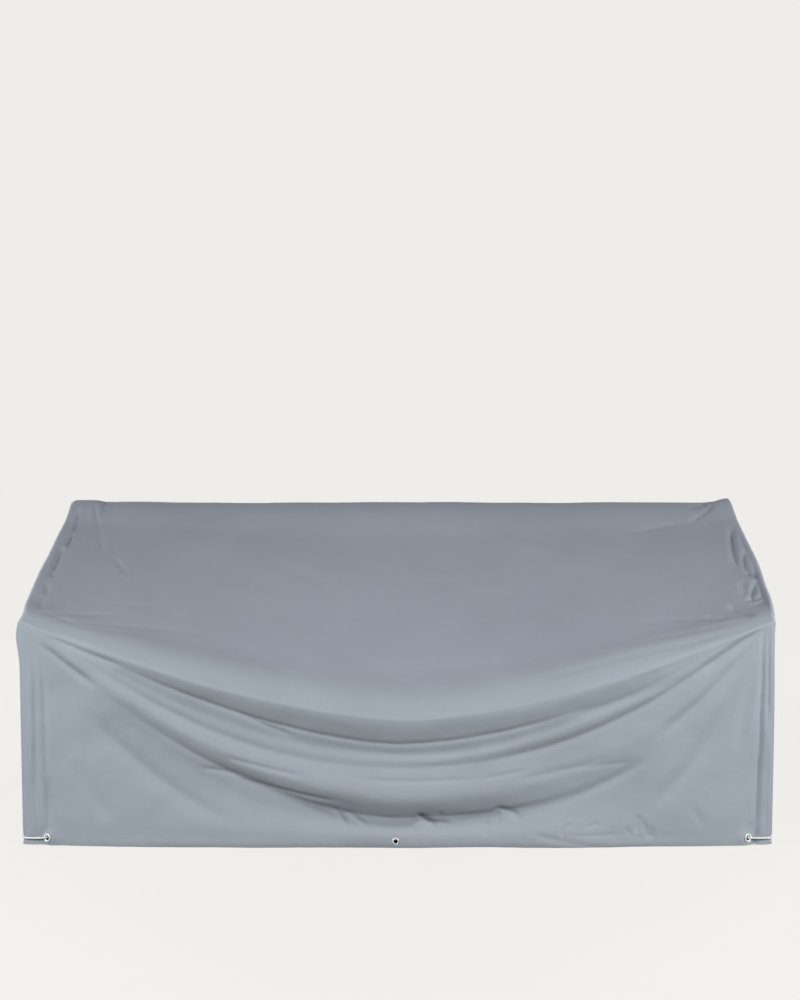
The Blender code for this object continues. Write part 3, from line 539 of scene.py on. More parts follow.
def front_push(x, y, z, lip_y, lip_z, scale):
    """How far the creases and the unevenness push the front panel out."""
    on_front = smooth((lip_z - z) / FRONT_FADE)
    on_slope = smooth((y - lip_y - SLOPE_START) / SLOPE_FADE) * smooth((BACK_Y - y) / SLOPE_FADE)
    push = on_front * crease_push("front", x, z)
    heights = fold_heights(x)
    for edge in EDGES:
        along = (x - edge.x0) / (edge.x1 - edge.x0)
        fade = smooth(along / EDGE_END) * smooth((1 - along) / EDGE_END)
        across = z - heights[edge.fold] - edge.above
        push += on_front * edge.depth * fade * crease_shape(across, edge.width, edge.pinch)
    push += on_slope * crease_push("slope", x, y)
    below = smooth((lip_z + UNEVEN_ABOVE - z) / UNEVEN_FADE)
    front_uneven = uneven(x, z, FRONT_SEED, FRONT_WAVES)
    slope_uneven = uneven(x, y, SLOPE_SEED, SLOPE_WAVES)
    push += below * front_uneven + (1 - below) * slope_uneven
    inside = smooth((EDGE_X - np.abs(x)) / SIDE_FADE) * smooth((BACK_Y - y) / TOP_FADE)
    return push * inside * scale + eyelet_turn(HALF, x, z)


def front_sections(x, low, high, shares):
    """The front panel's cross-sections between two knots, resampled, and the lip's place."""
    knots = section_knots(x)
    curve = smooth_curve(knots, SPAN_STEPS, section_turns(x, knots.shape[1]))
    part = curve[:, low * SPAN_STEPS : high * SPAN_STEPS + 1]
    return resample(part, shares), knots[:, LIP, 0], knots[:, LIP, 1]


def front_surface(x, part, lip_y, lip_z, scale):
    """The draped grid of a part of the front panel, its sides rolled over and lapped."""
    columns = np.repeat(x[:, None], part.shape[1], axis=1)
    base = np.stack([columns, part[..., 0], part[..., 1]], axis=-1)
    normal = normals_of(base)
    push = front_push(columns, base[..., 1], base[..., 2], lip_y[:, None], lip_z[:, None], scale)
    body = base + normal * push[..., None]
    body[..., 0] += edge_shift(columns, base[..., 1], base[..., 2])
    sides = []
    for side, column in ((-1, 0), (1, -1)):
        section = part[column]
        way = unit(np.gradient(section, axis=0))
        out = np.stack([-way[:, 1], way[:, 0]], axis=1)
        rolled = []
        for drop, reach in ROLL_STEPS:
            y, z = section[:, 0] - out[:, 0] * drop, section[:, 1] - out[:, 1] * drop
            share = reach / SIDE_ROLL
            drawn = corner_draw(z) * smooth((FRONT_Y + DRAW_BACK - y) / DRAW_BACK_FADE) * share
            reach_x = EDGE_X + reach + side_out(side, y, z) - drawn
            rolled.append(np.stack([side * reach_x, y + drawn * (1 - share), z], axis=1))
        sides.append(np.array(rolled))
    return np.concatenate([sides[0][::-1], body, sides[1]], axis=0)


def lengths_of(points):
    """Distances along a grid's columns and rows, for its weave."""
    up = np.array([run_along(column) for column in points])
    over = run_along(points[:, points.shape[1] // 2])
    return np.stack([np.repeat(over[:, None], points.shape[1], axis=1), up], axis=-1)


def cut_holes(points, keep, holes):
    """Opens a round hole at each (centre, radius), moving the nearest points on to its rim."""
    for centre, radius in holes:
        centre = np.array(centre)
        offset = points - centre
        distance = np.linalg.norm(offset, axis=-1)
        inside = distance < radius
        whole = inside[:-1, :-1] & inside[1:, :-1] & inside[1:, 1:] & inside[:-1, 1:]
        if not whole.any():
            raise RuntimeError(f"no face lies inside the hole at {centre}")
        keep &= ~whole
        rim = inside & (distance > 1e-6)
        points[rim] = centre + offset[rim] / distance[rim][:, None] * radius
    return keep


def link_object(name, data, *materials):
    """An object in the scene from its mesh data, shaded smooth."""
    for material in materials:
        data.materials.append(material)
    data.shade_smooth()
    made = bpy.data.objects.new(name, data)
    bpy.context.scene.collection.objects.link(made)
    return made


def mesh_object(name, mesh, *materials):
    """An object in the scene from a mesh that is ready."""
    data = bpy.data.meshes.new(name)
    mesh.to_mesh(data)
    mesh.free()
    return link_object(name, data, *materials)


def sheet_object(name, points, material, holes=(), flip=False):
    """A sheet of cloth from a grid of points, with its weave's coordinates."""
    weave = lengths_of(points)
    keep = np.ones((points.shape[0] - 1, points.shape[1] - 1), bool)
    keep = cut_holes(points, keep, holes)
    wide, high = points.shape[:2]
    index = np.arange(wide * high).reshape(wide, high)
    quads = np.stack([index[:-1, :-1], index[1:, :-1], index[1:, 1:], index[:-1, 1:]], axis=-1)[keep]
    if flip:
        quads = quads[:, ::-1]
    used = np.unique(quads)
    place = np.full(wide * high, -1)
    place[used] = np.arange(len(used))
    quads = place[quads]
    mesh = bpy.data.meshes.new(name)
    mesh.vertices.add(len(used))
    mesh.vertices.foreach_set("co", points.reshape(-1, 3)[used].astype(np.float32).ravel())
    mesh.loops.add(quads.size)
    mesh.loops.foreach_set("vertex_index", quads.ravel().astype(np.int32))
    mesh.polygons.add(len(quads))
    mesh.polygons.foreach_set("loop_start", np.arange(0, quads.size, 4, dtype=np.int32))
    layer = mesh.uv_layers.new(name="weave")
    flat = weave.reshape(-1, 2)[used]
    layer.data.foreach_set("uv", flat[quads.ravel()].astype(np.float32).ravel())
    mesh.update(calc_edges=True)
    mesh.validate()
    return link_object(name, mesh, material)


def turned_up(points, behind, fold, height):
    """A panel's grid, led by the hem's strip that is turned up behind its lower edge. behind says
    where the strip lies beside the edge, and fold where the cloth turns."""
    edge = points[:, 0]
    rows = [edge + behind + np.array([0, 0, height * share]) for share in HEM_TURN_ROWS]
    rows.append(edge + fold - np.array([0, 0, HEM_FOLD_DROP]))
    return np.concatenate([np.stack(rows, axis=1), points], axis=1)


# ---------------------------------------------------------------- side and back panels
# How many rows a panel has: the dense share of its height, the rows there and the rows above.
Rows = namedtuple("Rows", "dense dense_rows rows")
ROW_GAP = 0.01  # the share of the height between the two

SIDE_ROWS = Rows(0.09, 16, 92)
SIDE_END, SIDE_END_COLUMNS = 0.10, 24  # at both ends of a side panel
SIDE_MIDDLE_START, SIDE_MIDDLE_COLUMNS = 0.12, 84
SIDE_EDGE_FADE = 0.045  # over this length at its upright edges a side's creases die away
SIDE_TOP_FADE = 0.05  # and over this height below its top edge
SIDE_DRAW = 0.03  # how far from a corner the cord draws a side in
SIDE_TOP_STEPS = 24
SIDE_TOP_INSET = 0.0005  # how far a side's top edge lies under the front panel's roll

BACK_ROWS = Rows(0.07, 15, 90)
BACK_COLUMNS, BACK_MIDDLE_X = 210, 0.94  # between the panel's two ends
BACK_END_COLUMNS, BACK_END_X = 20, 0.945  # at both ends
BACK_UNDERLAP = 0.004  # how far the back panel reaches up behind the top's lap
BACK_LOOSE_X = 0.90  # the back hangs loose between here and the same place on the other side
BACK_LOOSE_FADE = 0.12
BACK_TAUT = 0.3  # how deep its creases still are at the edges, as a share
BACK_FLARE_FADE = 0.3
BACK_FLARE_TOP = 0.8  # the share of its height where the bulge at the hem ends
BACK_EDGE_FADE = 0.05
BACK_TOP_CALM, BACK_TOP_FADE = 0.008, 0.08  # where its creases die away below the top

HEM_STEP = 0.0010  # how far a doubled hem stands out
HEM_STEP_HEIGHT = 0.0315  # up to this far above the panel's lower edge
HEM_STEP_FADE = 0.003


def side_top():
    """A side panel's top edge, as (y, z), from the front of the arm to the back."""
    knots = section_knots(np.array([EDGE_X]))
    curve = smooth_curve(knots, SIDE_TOP_STEPS)[0][(LIP - 1) * SIDE_TOP_STEPS :]
    way = unit(np.gradient(curve, axis=0))
    inset = SIDE_ROLL + SIDE_TOP_INSET
    edge = curve - np.stack([-way[:, 1], way[:, 0]], axis=1) * inset
    edge[0, 0] = FRONT_Y + inset
    return edge[np.argsort(edge[:, 0])]


def hem_rise(reach, corner):
    """How far the hem is drawn up near a panel's lower corners."""
    return CORNER_RISE * np.clip(1 - (corner - np.abs(reach)) / HALF, 0, 1) ** RISE_POWER


def hem_step(z, low):
    """The doubled hem stands a little proud of the cloth above it."""
    return HEM_STEP * smooth((HEM_STEP_HEIGHT - (z - low)) / HEM_STEP_FADE)


def shares_up(rows):
    """A panel's rows as shares of its height, denser up to the hem."""
    dense = np.linspace(0, rows.dense, rows.dense_rows)
    return np.concatenate([dense, np.linspace(rows.dense + ROW_GAP, 1, rows.rows)])


def side_surface(side, scale):
    """The grid of a side panel, from the front to the back."""
    edge = side_top()
    near = np.linspace(0, SIDE_END, SIDE_END_COLUMNS)
    reach = BACK_Y - SIDE_MIDDLE_START
    middle = np.linspace(-reach, reach, SIDE_MIDDLE_COLUMNS)
    y = np.concatenate([FRONT_Y + SIDE_ROLL + near, middle, (BACK_Y - SIDE_ROLL - near)[::-1]])
    top = np.interp(y, edge[:, 0], edge[:, 1])
    low = hem_rise(y, BACK_Y - SIDE_ROLL)
    z = low[:, None] + (top - low)[:, None] * shares_up(SIDE_ROWS)[None]
    y = np.repeat(y[:, None], z.shape[1], axis=1)
    from_edge = np.minimum(y - FRONT_Y - SIDE_ROLL, BACK_Y - SIDE_ROLL - y)
    near_edge = smooth(from_edge / SIDE_EDGE_FADE)
    fade = near_edge * smooth((top[:, None] - z) / SIDE_TOP_FADE)
    panel = "left" if side < 0 else "right"
    push = crease_push(panel, y, z) + uneven(y, z, SIDE_SEED + side, PANEL_WAVES)
    from_corner = np.minimum(y - FRONT_Y, BACK_Y - y)
    drawn = corner_draw(z) * smooth((SIDE_DRAW - from_corner) / SIDE_DRAW)
    out = side_out(side, y, z) + fade * push * scale + hem_step(z, low[:, None]) * near_edge - drawn
    out += eyelet_turn(BACK_Y, y, z)
    x = side * (HALF - PANEL_INSET + out)
    return np.stack([x, y, z], axis=-1)


def back_surface(scale):
    """The grid of the back panel, from right to left as seen from the front."""
    top = BACK_HEIGHT - BACK_ROLL + BACK_UNDERLAP
    inner = np.linspace(-BACK_MIDDLE_X, BACK_MIDDLE_X, BACK_COLUMNS)
    near = np.linspace(EDGE_X, BACK_END_X, BACK_END_COLUMNS)
    x = np.concatenate([near, inner[::-1], -near[::-1]])
    low = hem_rise(x, EDGE_X)
    z = low[:, None] + (top - low)[:, None] * shares_up(BACK_ROWS)[None]
    x = np.repeat(x[:, None], z.shape[1], axis=1)
    inside = BACK_LOOSE_X - np.abs(x)
    loose = smooth(inside / BACK_LOOSE_FADE) * (1 - BACK_TAUT) + BACK_TAUT
    part_up = (z - low[:, None]) / (top - low)[:, None]
    flare = BACK_HEM_BULGE * smooth(inside / BACK_FLARE_FADE) * (1 - smooth(part_up / BACK_FLARE_TOP))
    below_top = smooth((top - BACK_TOP_CALM - z) / BACK_TOP_FADE)
    fade = smooth((EDGE_X - np.abs(x)) / BACK_EDGE_FADE) * below_top
    soft = crease_push("back", x, z) + uneven(x, z, BACK_SEED, PANEL_WAVES)
    push = fade * loose * soft * scale
    y = BACK_Y + flare + push + hem_step(z, low[:, None]) - PANEL_INSET + eyelet_turn(HALF, x, z)
    body = np.stack([x + edge_shift(x, BACK_Y, z), y, z], axis=-1)
    sides = []
    for side, column in ((1, 0), (-1, -1)):
        _, depths, heights = body[column].T
        out = side_out(side, np.full_like(heights, BACK_Y), heights)
        rolled = []
        for drop, reach in ROLL_STEPS:
            drawn = corner_draw(heights) * reach / SIDE_ROLL
            across = side * (EDGE_X + reach + out - drawn)
            rolled.append(np.stack([across, depths - drop, heights], axis=1))
        sides.append(np.array(rolled))
    return np.concatenate([sides[0][::-1], body, sides[1]], axis=0)


# ---------------------------------------------------------------- finishes
def new_material(name):
    """An empty finish: the material, its node tree and its shader."""
    made = bpy.data.materials.new(name)
    made.use_nodes = True
    return made, made.node_tree, made.node_tree.nodes["Principled BSDF"]


def wire(tree, target, inputs):
    """Sets a node's inputs: a value on its socket, or another node's output wired to it."""
    for name, value in inputs.items():
        if isinstance(value, bpy.types.NodeSocket):
            tree.links.new(value, target.inputs[name])
        else:
            target.inputs[name].default_value = value


def add_node(tree, kind, inputs, **settings):
    """The outputs of a new shader node with these inputs and settings."""
    made = tree.nodes.new("ShaderNode" + kind)
    for name, value in settings.items():
        setattr(made, name, value)
    wire(tree, made, inputs)
    return made.outputs


def add_math(tree, operation, *inputs):
    """The result of a calculation with other nodes' outputs and numbers."""
    return add_node(tree, "Math", dict(enumerate(inputs)), operation=operation)[0]


def add_range(tree, value, low, high, start=0.0, end=1.0, blend="LINEAR"):
    """A number that goes from low to high as the value goes from start to end."""
    inputs = {"Value": value, "From Min": start, "From Max": end, "To Min": low, "To Max": high}
    return add_node(tree, "MapRange", inputs, interpolation_type=blend)["Result"]


def add_tones(tree, share, dark, light, start=0.0, end=1.0):
    """A colour that goes from dark to light as the share goes from start to end."""
    made = tree.nodes.new("ShaderNodeValToRGB")
    wire(tree, made, {"Fac": share})
    for point, place, tone in zip(made.color_ramp.elements, (start, end), (dark, light)):
        point.position = place
        point.color = (*tone, 1)
    return made.outputs["Color"]


def add_bump(tree, height, strength, distance, **under):
    """The normal of a fine relief, laid over another one where Normal gives it."""
    inputs = {"Height": height, "Strength": strength, "Distance": distance, **under}
    return add_node(tree, "Bump", inputs)["Normal"]


def darker(colour, share):
    """A colour with this share of its brightness."""
    return [share * part for part in colour]


WEAVE_RELIEF = 0.06  # how far the threads stand out, as a share of the weave's pitch
# Where along Y the cloth goes over from the front's colour to the painted shade of the top, which is
# darker and bluer as the light falls there.
TOP_SHADE_START, TOP_SHADE_END = -0.44, -0.31
BRAID_PITCH = 0.0042  # along the cord, from one crossing of two strands to the next
BRAID_STRANDS = 8
BRAID_SWELL = 0.05  # how far a strand stands out, as a share of the cord's radius


def cloth_material(sizes, colours):
    """Coated woven polyester: soft mottling, a fine plain weave, a satin finish and painted shade on the
    top.
    """
    made, tree, shader = new_material("coated_cloth")
    place = add_node(tree, "TexCoord", {})

    def noise(scale, detail, roughness):
        inputs = {"Vector": place["Object"], "Scale": scale, "Detail": detail, "Roughness": roughness}
        return add_node(tree, "TexNoise", inputs)["Fac"]

    large, small, crumple = noise(5.0, 3.0, 0.55), noise(90.0, 4.0, 0.6), noise(38.0, 5.0, 0.55)
    mottle = add_node(tree, "Mix", {0: 0.35, 2: large, 3: small}, data_type="FLOAT")[0]
    tone = add_tones(tree, mottle, colours.cloth_dark, colours.cloth_light, 0.34, 0.66)
    # Painted shade: behind the lip the colour is multiplied darker and bluer, as the light falls on the
    # top.
    depth = add_node(tree, "SeparateXYZ", {"Vector": place["Object"]})["Y"]
    back = add_range(tree, depth, 0.0, 1.0, TOP_SHADE_START, TOP_SHADE_END, "SMOOTHSTEP")
    top_shade_mix = {0: back, 6: tone, 7: (*colours.top_painted_shade, 1)}
    tone_with_top_shade = add_node(tree, "Mix", top_shade_mix, data_type="RGBA", blend_type="MULTIPLY")[2]

    run = add_node(tree, "SeparateXYZ", {"Vector": place["UV"]})
    pitch = 2 * math.pi / sizes.weave_pitch
    threads = [add_math(tree, "SINE", add_math(tree, "MULTIPLY", run[axis], pitch)) for axis in "XY"]
    weave = add_math(tree, "MULTIPLY", *threads)
    fine = add_bump(tree, weave, 0.35, sizes.weave_pitch * WEAVE_RELIEF)
    wire(tree, shader, {
        "Base Color": tone_with_top_shade,
        "Roughness": add_range(tree, small, 0.68, 0.82),
        "Normal": add_bump(tree, crumple, 0.30, 0.0009, Normal=fine),
        "Specular IOR Level": 0.22,
        "Sheen Weight": 0.05,
        "Sheen Roughness": 0.45,
    })
    return made


def thread_material(colours):
    """Twisted polyester sewing thread, with painted shade in the twist's grooves."""
    made, tree, shader = new_material("sewing_thread")
    place = add_node(tree, "TexCoord", {})["Object"]
    twist = add_node(tree, "TexWave", {"Vector": place, "Scale": 900.0, "Distortion": 1.5})["Fac"]
    # Painted shade: darker bands in the colour stand for the shade in the twist's grooves.
    tone = add_tones(tree, twist, darker(colours.thread, 0.8), colours.thread)
    wire(tree, shader, {"Base Color": tone, "Roughness": 0.6})
    return made


def metal_material(colours):
    """Bright plated metal with faint turned marks."""
    made, tree, shader = new_material("eyelet_metal")
    place = add_node(tree, "TexCoord", {})["Object"]
    marks = add_node(tree, "TexNoise", {"Vector": place, "Scale": 420.0, "Detail": 3.0})["Fac"]
    tone = add_tones(tree, marks, darker(colours.eyelet, 0.86), colours.eyelet)
    rough = add_range(tree, marks, 0.26, 0.42)
    wire(tree, shader, {"Base Color": tone, "Roughness": rough, "Metallic": 0.3})
    return made


def cord_material(colours):
    """White braided elastic, with painted shade in the grooves of its braid."""
    made, tree, shader = new_material("elastic_cord")
    run = add_node(tree, "SeparateXYZ", {"Vector": add_node(tree, "TexCoord", {})["UV"]})
    along = add_math(tree, "MULTIPLY", run["Y"], 2 * math.pi / BRAID_PITCH)
    strands = []
    for sign in (1, -1):
        lean = sign * 2 * math.pi * BRAID_STRANDS
        strands.append(add_math(tree, "SINE", add_math(tree, "MULTIPLY_ADD", run["X"], lean, along)))
    braid = add_math(tree, "MAXIMUM", *strands)
    # Painted shade: the grooves between the braid's strands are darker in colour, besides being sunk by
    # the bump.
    wire(tree, shader, {
        "Base Color": add_tones(tree, braid, darker(colours.cord, 0.72), colours.cord),
        "Normal": add_bump(tree, braid, 0.6, 0.0004),
        "Roughness": 0.72,
        "Sheen Weight": 0.2,
    })
    return made


def shared_material(context, name):
    """The finish of that name, made once."""
    found = bpy.data.materials.get("cover_" + name)
    if found:
        return found
    sizes, colours = context.scene.cover_sizes, context.scene.cover_colours
    made = {
        "cloth": lambda: cloth_material(sizes, colours),
        "thread": lambda: thread_material(colours),
        "metal": lambda: metal_material(colours),
        "cord": lambda: cord_material(colours),
    }[name]()
    made.name = "cover_" + name
    return made


# ---------------------------------------------------------------- eyelets, cords and stitches
Eyelet = namedtuple("Eyelet", "name node centre normal size")
MIDDLE_SIZE, CORNER_SIZE = 0.80, 0.96
HEM_REACH = 0.016  # half the width of hem that an eyelet lies flat on
HOLE_SHARE = 0.72  # a hole's radius as a share of its eyelet's flange


def hem_place(x, height):
    """A point of the front hem's face and its outward normal."""
    at = np.array([x - HEM_REACH, x + HEM_REACH])
    rows = []
    heights = fold_heights(at)
    for k in (HEM_TOP - 1, HEM_TOP):
        y, z = FRONT_Y - fold_out(FOLDS[k], at), heights[k]
        rows.append([Vector((at[end], y[end], z[end])) for end in range(2)])
    across = (rows[0][1] - rows[0][0]) + (rows[1][1] - rows[1][0])
    base, top = (rows[0][0] + rows[0][1]) / 2, (rows[1][0] + rows[1][1]) / 2
    place = base.lerp(top, (height - base.z) / (top.z - base.z))
    normal = across.cross(top - base).normalized()
    knots = section_knots(np.array([x]))
    lip_y, lip_z = knots[:, LIP, 0], knots[:, LIP, 1]
    scale = bpy.context.scene.cover_sizes.fold_scale
    at = [np.array([v]) for v in (x, place.y, place.z)]
    push = float(front_push(*at, lip_y, lip_z, scale)[0])
    return place + normal * (push + HEM_PROUD), normal


def corner_eyelet(name, panel, place, normal, way):
    """An eyelet that its cord turns a little towards the corner, which lies that way."""
    turned = (normal + way * EYELET_TURN).normalized()
    return Eyelet(name, panel, place, turned, CORNER_SIZE)


def eyelets():
    """Every eyelet: its piece, the panel it is set in, the middle of the cloth's outer face there,
    the outward normal and its size beside the profile's."""
    middle = hem_place(MIDDLE_EYELET_X, MIDDLE_EYELET_HEIGHT)
    found = [Eyelet("front_middle", "front_hem", *middle, MIDDLE_SIZE)]
    for side, word in ((-1, "left"), (1, "right")):
        x = side * (HALF - CORNER_TO_EYELET)
        outwards = Vector((side, 0, 0))
        place, normal = hem_place(x, EYELET_HEIGHT)
        found.append(corner_eyelet(f"front_{word}", "front_hem", place, normal, outwards))
        for end, end_word in ((-1, "front"), (1, "back")):
            place = Vector((side * HALF, end * (BACK_Y - CORNER_TO_EYELET), EYELET_HEIGHT))
            way = Vector((0, end, 0))
            found.append(corner_eyelet(f"{word}_{end_word}", f"side_{word}", place, outwards, way))
        place = Vector((x, BACK_Y, EYELET_HEIGHT))
        found.append(corner_eyelet(f"back_{word}", "back", place, Vector((0, 1, 0)), outwards))
    return found


def holes_for(panel):
    """The holes of a panel's eyelets, hidden under their flanges."""
    return [(e.centre, EYELET_FLANGE * HOLE_SHARE * e.size) for e in eyelets() if e.node == panel]


# (radius, height over the cloth) round an eyelet's section, in millimetres
EYELET_PROFILE = [
    (6.5, -2.4), (6.55, -1.2), (6.9, -0.1), (7.6, 0.9), (8.6, 1.65), (9.8, 2.1), (11.0, 2.2),
    (12.1, 1.9), (12.9, 1.3), (13.3, 0.65), (13.1, 0.25), (9.6, 0.25), (7.9, -0.3), (7.6, -1.9),
    (9.0, -2.35), (12.5, -2.3), (13.2, -2.6), (12.4, -3.0), (8.6, -3.1), (7.0, -2.9),
]
MILLIMETRE = 0.001


def eyelet_object(eyelet, material, segments=48):
    """A rolled metal eyelet, turned round its hole's axis."""
    mesh = bmesh.new()
    up = Vector((0, 0, 1))
    turn = up.rotation_difference(eyelet.normal).to_matrix().to_4x4()
    place = Matrix.Translation(eyelet.centre) @ turn
    scale = MILLIMETRE * eyelet.size
    rings = []
    for step in range(segments):
        angle = 2 * math.pi * step / segments
        way = Vector((math.cos(angle), math.sin(angle), 0))
        rings.append([mesh.verts.new(place @ ((way * r + up * h) * scale)) for r, h in EYELET_PROFILE])
    count = len(EYELET_PROFILE)
    for ring, after in zip(rings, rings[1:] + rings[:1]):
        for j in range(count):
            k = (j + 1) % count
            mesh.faces.new((ring[j], ring[k], after[k], after[j]))
    bmesh.ops.recalc_face_normals(mesh, faces=mesh.faces)
    return mesh_object(f"eyelet_{eyelet.name}_ring", mesh, material)


def tube_object(name, centres, radius, material, around, ribs):
    """A closed round tube along a line of points, with helical ribs as of a braid."""
    centres = [Vector(c) for c in centres]
    mesh = bmesh.new()
    layer = mesh.loops.layers.uv.new("weave")
    way = (centres[1] - centres[0]).normalized()
    side = way.orthogonal().normalized()
    rings, run = [], 0.0
    for i, centre in enumerate(centres):
        ahead = centres[min(i + 1, len(centres) - 1)] - centres[max(i - 1, 0)]
        new_way = ahead.normalized()
        side = (way.rotation_difference(new_way) @ side).normalized()
        side = (side - new_way * side.dot(new_way)).normalized()
        way = new_way
        up = way.cross(side)
        if i:
            run += (centre - centres[i - 1]).length
        twist = 2 * math.pi * (run / BRAID_PITCH)
        ring = []
        for step in range(around):
            angle = 2 * math.pi * step / around
            swell = 1.0
            if ribs:
                crossing = max(math.cos(ribs * angle + twist), math.cos(ribs * angle - twist))
                swell += BRAID_SWELL * crossing
            out = side * math.cos(angle) + up * math.sin(angle)
            ring.append(mesh.verts.new(centre + out * radius * swell))
        rings.append((ring, run))
    for (ring, low), (after, high) in zip(rings, rings[1:]):
        for step in range(around):
            k = (step + 1) % around
            face = mesh.faces.new((ring[step], ring[k], after[k], after[step]))
            corners = ((step, low), (step + 1, low), (step + 1, high), (step, high))
            for loop, (u, v) in zip(face.loops, corners):
                loop[layer].uv = (u / around, v)
    mesh.faces.new(rings[0][0][::-1])
    mesh.faces.new(rings[-1][0])
    return mesh_object(name, mesh, material)


# The cord's way from the hole's middle, as (towards the corner, outwards): square to the eyelet
# as it comes through, then along the panel.
CORD_THROUGH = [(-0.0010, -0.0190), (-0.0006, -0.0120), (0.0004, -0.0050), (0.0026, 0.0015),
                (0.0085, 0.0054)]
CORD_ALONG = [(0.0185, 0.0026), (0.0300, 0.0040)]
CORD_OFF = CORD_RADIUS + 0.0006  # how far its middle lies off the cloth at the corner
CORD_TIGHT = 0.002  # how much tighter than that it rounds the corner
CORD_TURN_STEPS = 6
CORD_STEPS = 8  # from one point of its route to the next
KNOT_HEIGHT = 1.3  # how far a knot's strands rise and fall, where they swing in and out by 1


def cord_route(first, second, corner):
    """A corner cord's centreline, from behind one eyelet to behind the other."""
    def leg(eyelet, way, out):
        flat = (way - way.dot(eyelet.normal) * eyelet.normal).normalized()
        through = [eyelet.centre + flat * a + eyelet.normal * b for a, b in CORD_THROUGH]
        return through + [eyelet.centre + way * a + out * b for a, b in CORD_ALONG]

    along = Vector((math.copysign(1, corner.x), 0, 0))
    across = Vector((0, math.copysign(1, corner.y), 0))
    start, end = leg(first, along, across), leg(second, across, along)
    middle = corner - (along + across) * SIDE_ROLL
    radius = SIDE_ROLL + CORD_OFF - CORD_TIGHT
    around = []
    for step in range(CORD_TURN_STEPS + 1):
        angle = math.pi / 2 * step / CORD_TURN_STEPS
        reach = across * math.cos(angle) * radius + along * math.sin(angle) * (radius - CORD_BITE)
        around.append(middle + reach)
    knots = np.array([[list(p) for p in start + around + end[::-1]]])
    return smooth_curve(knots, CORD_STEPS)[0]


def knot_loop(centre, axis, radius, steps=90):
    """The centreline of a small tight knot about an axis."""
    turn = Vector((0, 0, 1)).rotation_difference(axis).to_matrix()
    points = []
    for step in range(steps + 1):
        t = 2 * math.pi * step / steps
        ring = 2 + math.cos(3 * t)
        height = KNOT_HEIGHT * math.sin(3 * t)
        local = Vector((ring * math.cos(2 * t), ring * math.sin(2 * t), height))
        points.append(centre + turn @ local * (radius / 3))
    return points


# A stitch's cross-sections: how far along it, as a share of its length, and how far over the cloth
# and how thick, as shares of the thread's radius.
STITCH_SHAPE = [(-0.5, -0.5, 0.7), (-0.3, 0.45, 1.0), (0.3, 0.45, 1.0), (0.5, -0.5, 0.7)]
QUARTERS = (0, math.pi / 2, math.pi, 3 * math.pi / 2)


def stitches_object(name, lines, sizes, material):
    """A row of stitches along each (points, normals) line, as one mesh."""
    mesh = bmesh.new()
    radius, length, pitch = sizes.thread_thickness / 2, sizes.stitch_length, sizes.stitch_pitch
    for points, normals in lines:
        run = run_along(points)
        for k in range(int(run[-1] / pitch)):
            ends = []
            for shift, lift, _ in STITCH_SHAPE:
                at = (k + 0.5) * pitch + shift * length
                out = Vector(points_at(normals, run, at)).normalized()
                ends.append((Vector(points_at(points, run, at)) + out * radius * lift, out))
            rings = []
            for i, (place, out) in enumerate(ends):
                way = (ends[min(i + 1, 3)][0] - ends[max(i - 1, 0)][0]).normalized()
                side = way.cross(out).normalized()
                size = radius * STITCH_SHAPE[i][2]
                ring = [place + (side * math.cos(a) + out * math.sin(a)) * size for a in QUARTERS]
                rings.append([mesh.verts.new(corner) for corner in ring])
            for ring, after in zip(rings, rings[1:]):
                for j in range(4):
                    mesh.faces.new((ring[j], after[j], after[(j + 1) % 4], ring[(j + 1) % 4]))
            mesh.faces.new(rings[0])
            mesh.faces.new(rings[-1][::-1])
    bmesh.ops.recalc_face_normals(mesh, faces=mesh.faces)
    return mesh_object(name, mesh, material)


def line_of(points, normals, along, index, start=0, end=None):
    """A grid's row or column as a line of places and normals."""
    pick = (slice(start, end), index) if along == "row" else (index, slice(start, end))
    return points[pick], normals[pick]


GRIDS = {}  # the grids made so far, which the stitches follow


# ---------------------------------------------------------------- properties
class CoverSizes(bpy.types.PropertyGroup):
    """The sizes of the cloth's finer work"""

    fold_scale: FloatProperty(name="Crease depth", description="Depth of the creases, 1 as made",
                              default=1.0, min=0.0, max=1.5, subtype="FACTOR")
    weave_pitch: FloatProperty(name="Weave pitch", description="Distance between two threads",
                               default=0.0009, unit="LENGTH")
    hem_turn: FloatProperty(name="Hem turn", description="Height of the strip turned up inside",
                            default=0.026, unit="LENGTH")
    stitch_pitch: FloatProperty(name="Stitch pitch", description="From one stitch to the next",
                                default=0.0055, unit="LENGTH")
    stitch_length: FloatProperty(name="Stitch length", description="Length of a stitch",
                                 default=0.0040, unit="LENGTH")
    thread_thickness: FloatProperty(name="Thread", description="Thickness of the sewing thread",
                                    default=0.0007, unit="LENGTH")


class CoverColours(bpy.types.PropertyGroup):
    """The colours of the cover's materials and of the floor"""

    cloth_light: FloatVectorProperty(name="Cloth, light", description="Lighter tone of the cloth",
                                     default=(0.310, 0.350, 0.388), subtype="COLOR")
    cloth_dark: FloatVectorProperty(name="Cloth, dark", description="Darker tone of the cloth",
                                    default=(0.292, 0.328, 0.364), subtype="COLOR")
    # Painted shade of the top, darker and bluer as the light falls there
    top_painted_shade: FloatVectorProperty(name="Top, painted shade", description="Painted shade on the cloth's top",
                                   default=(0.945, 0.920, 0.965), subtype="COLOR")
    thread: FloatVectorProperty(name="Thread", description="Sewing thread",
                                default=(0.30, 0.33, 0.365), subtype="COLOR")
    eyelet: FloatVectorProperty(name="Eyelets", description="Plated metal",
                                default=(0.86, 0.87, 0.86), subtype="COLOR")
    cord: FloatVectorProperty(name="Cord", description="Braided elastic",
                              default=(0.84, 0.85, 0.84), subtype="COLOR")
    floor: FloatVectorProperty(name="Floor", description="Studio floor and background",
                               default=(0.863, 0.847, 0.815), subtype="COLOR")


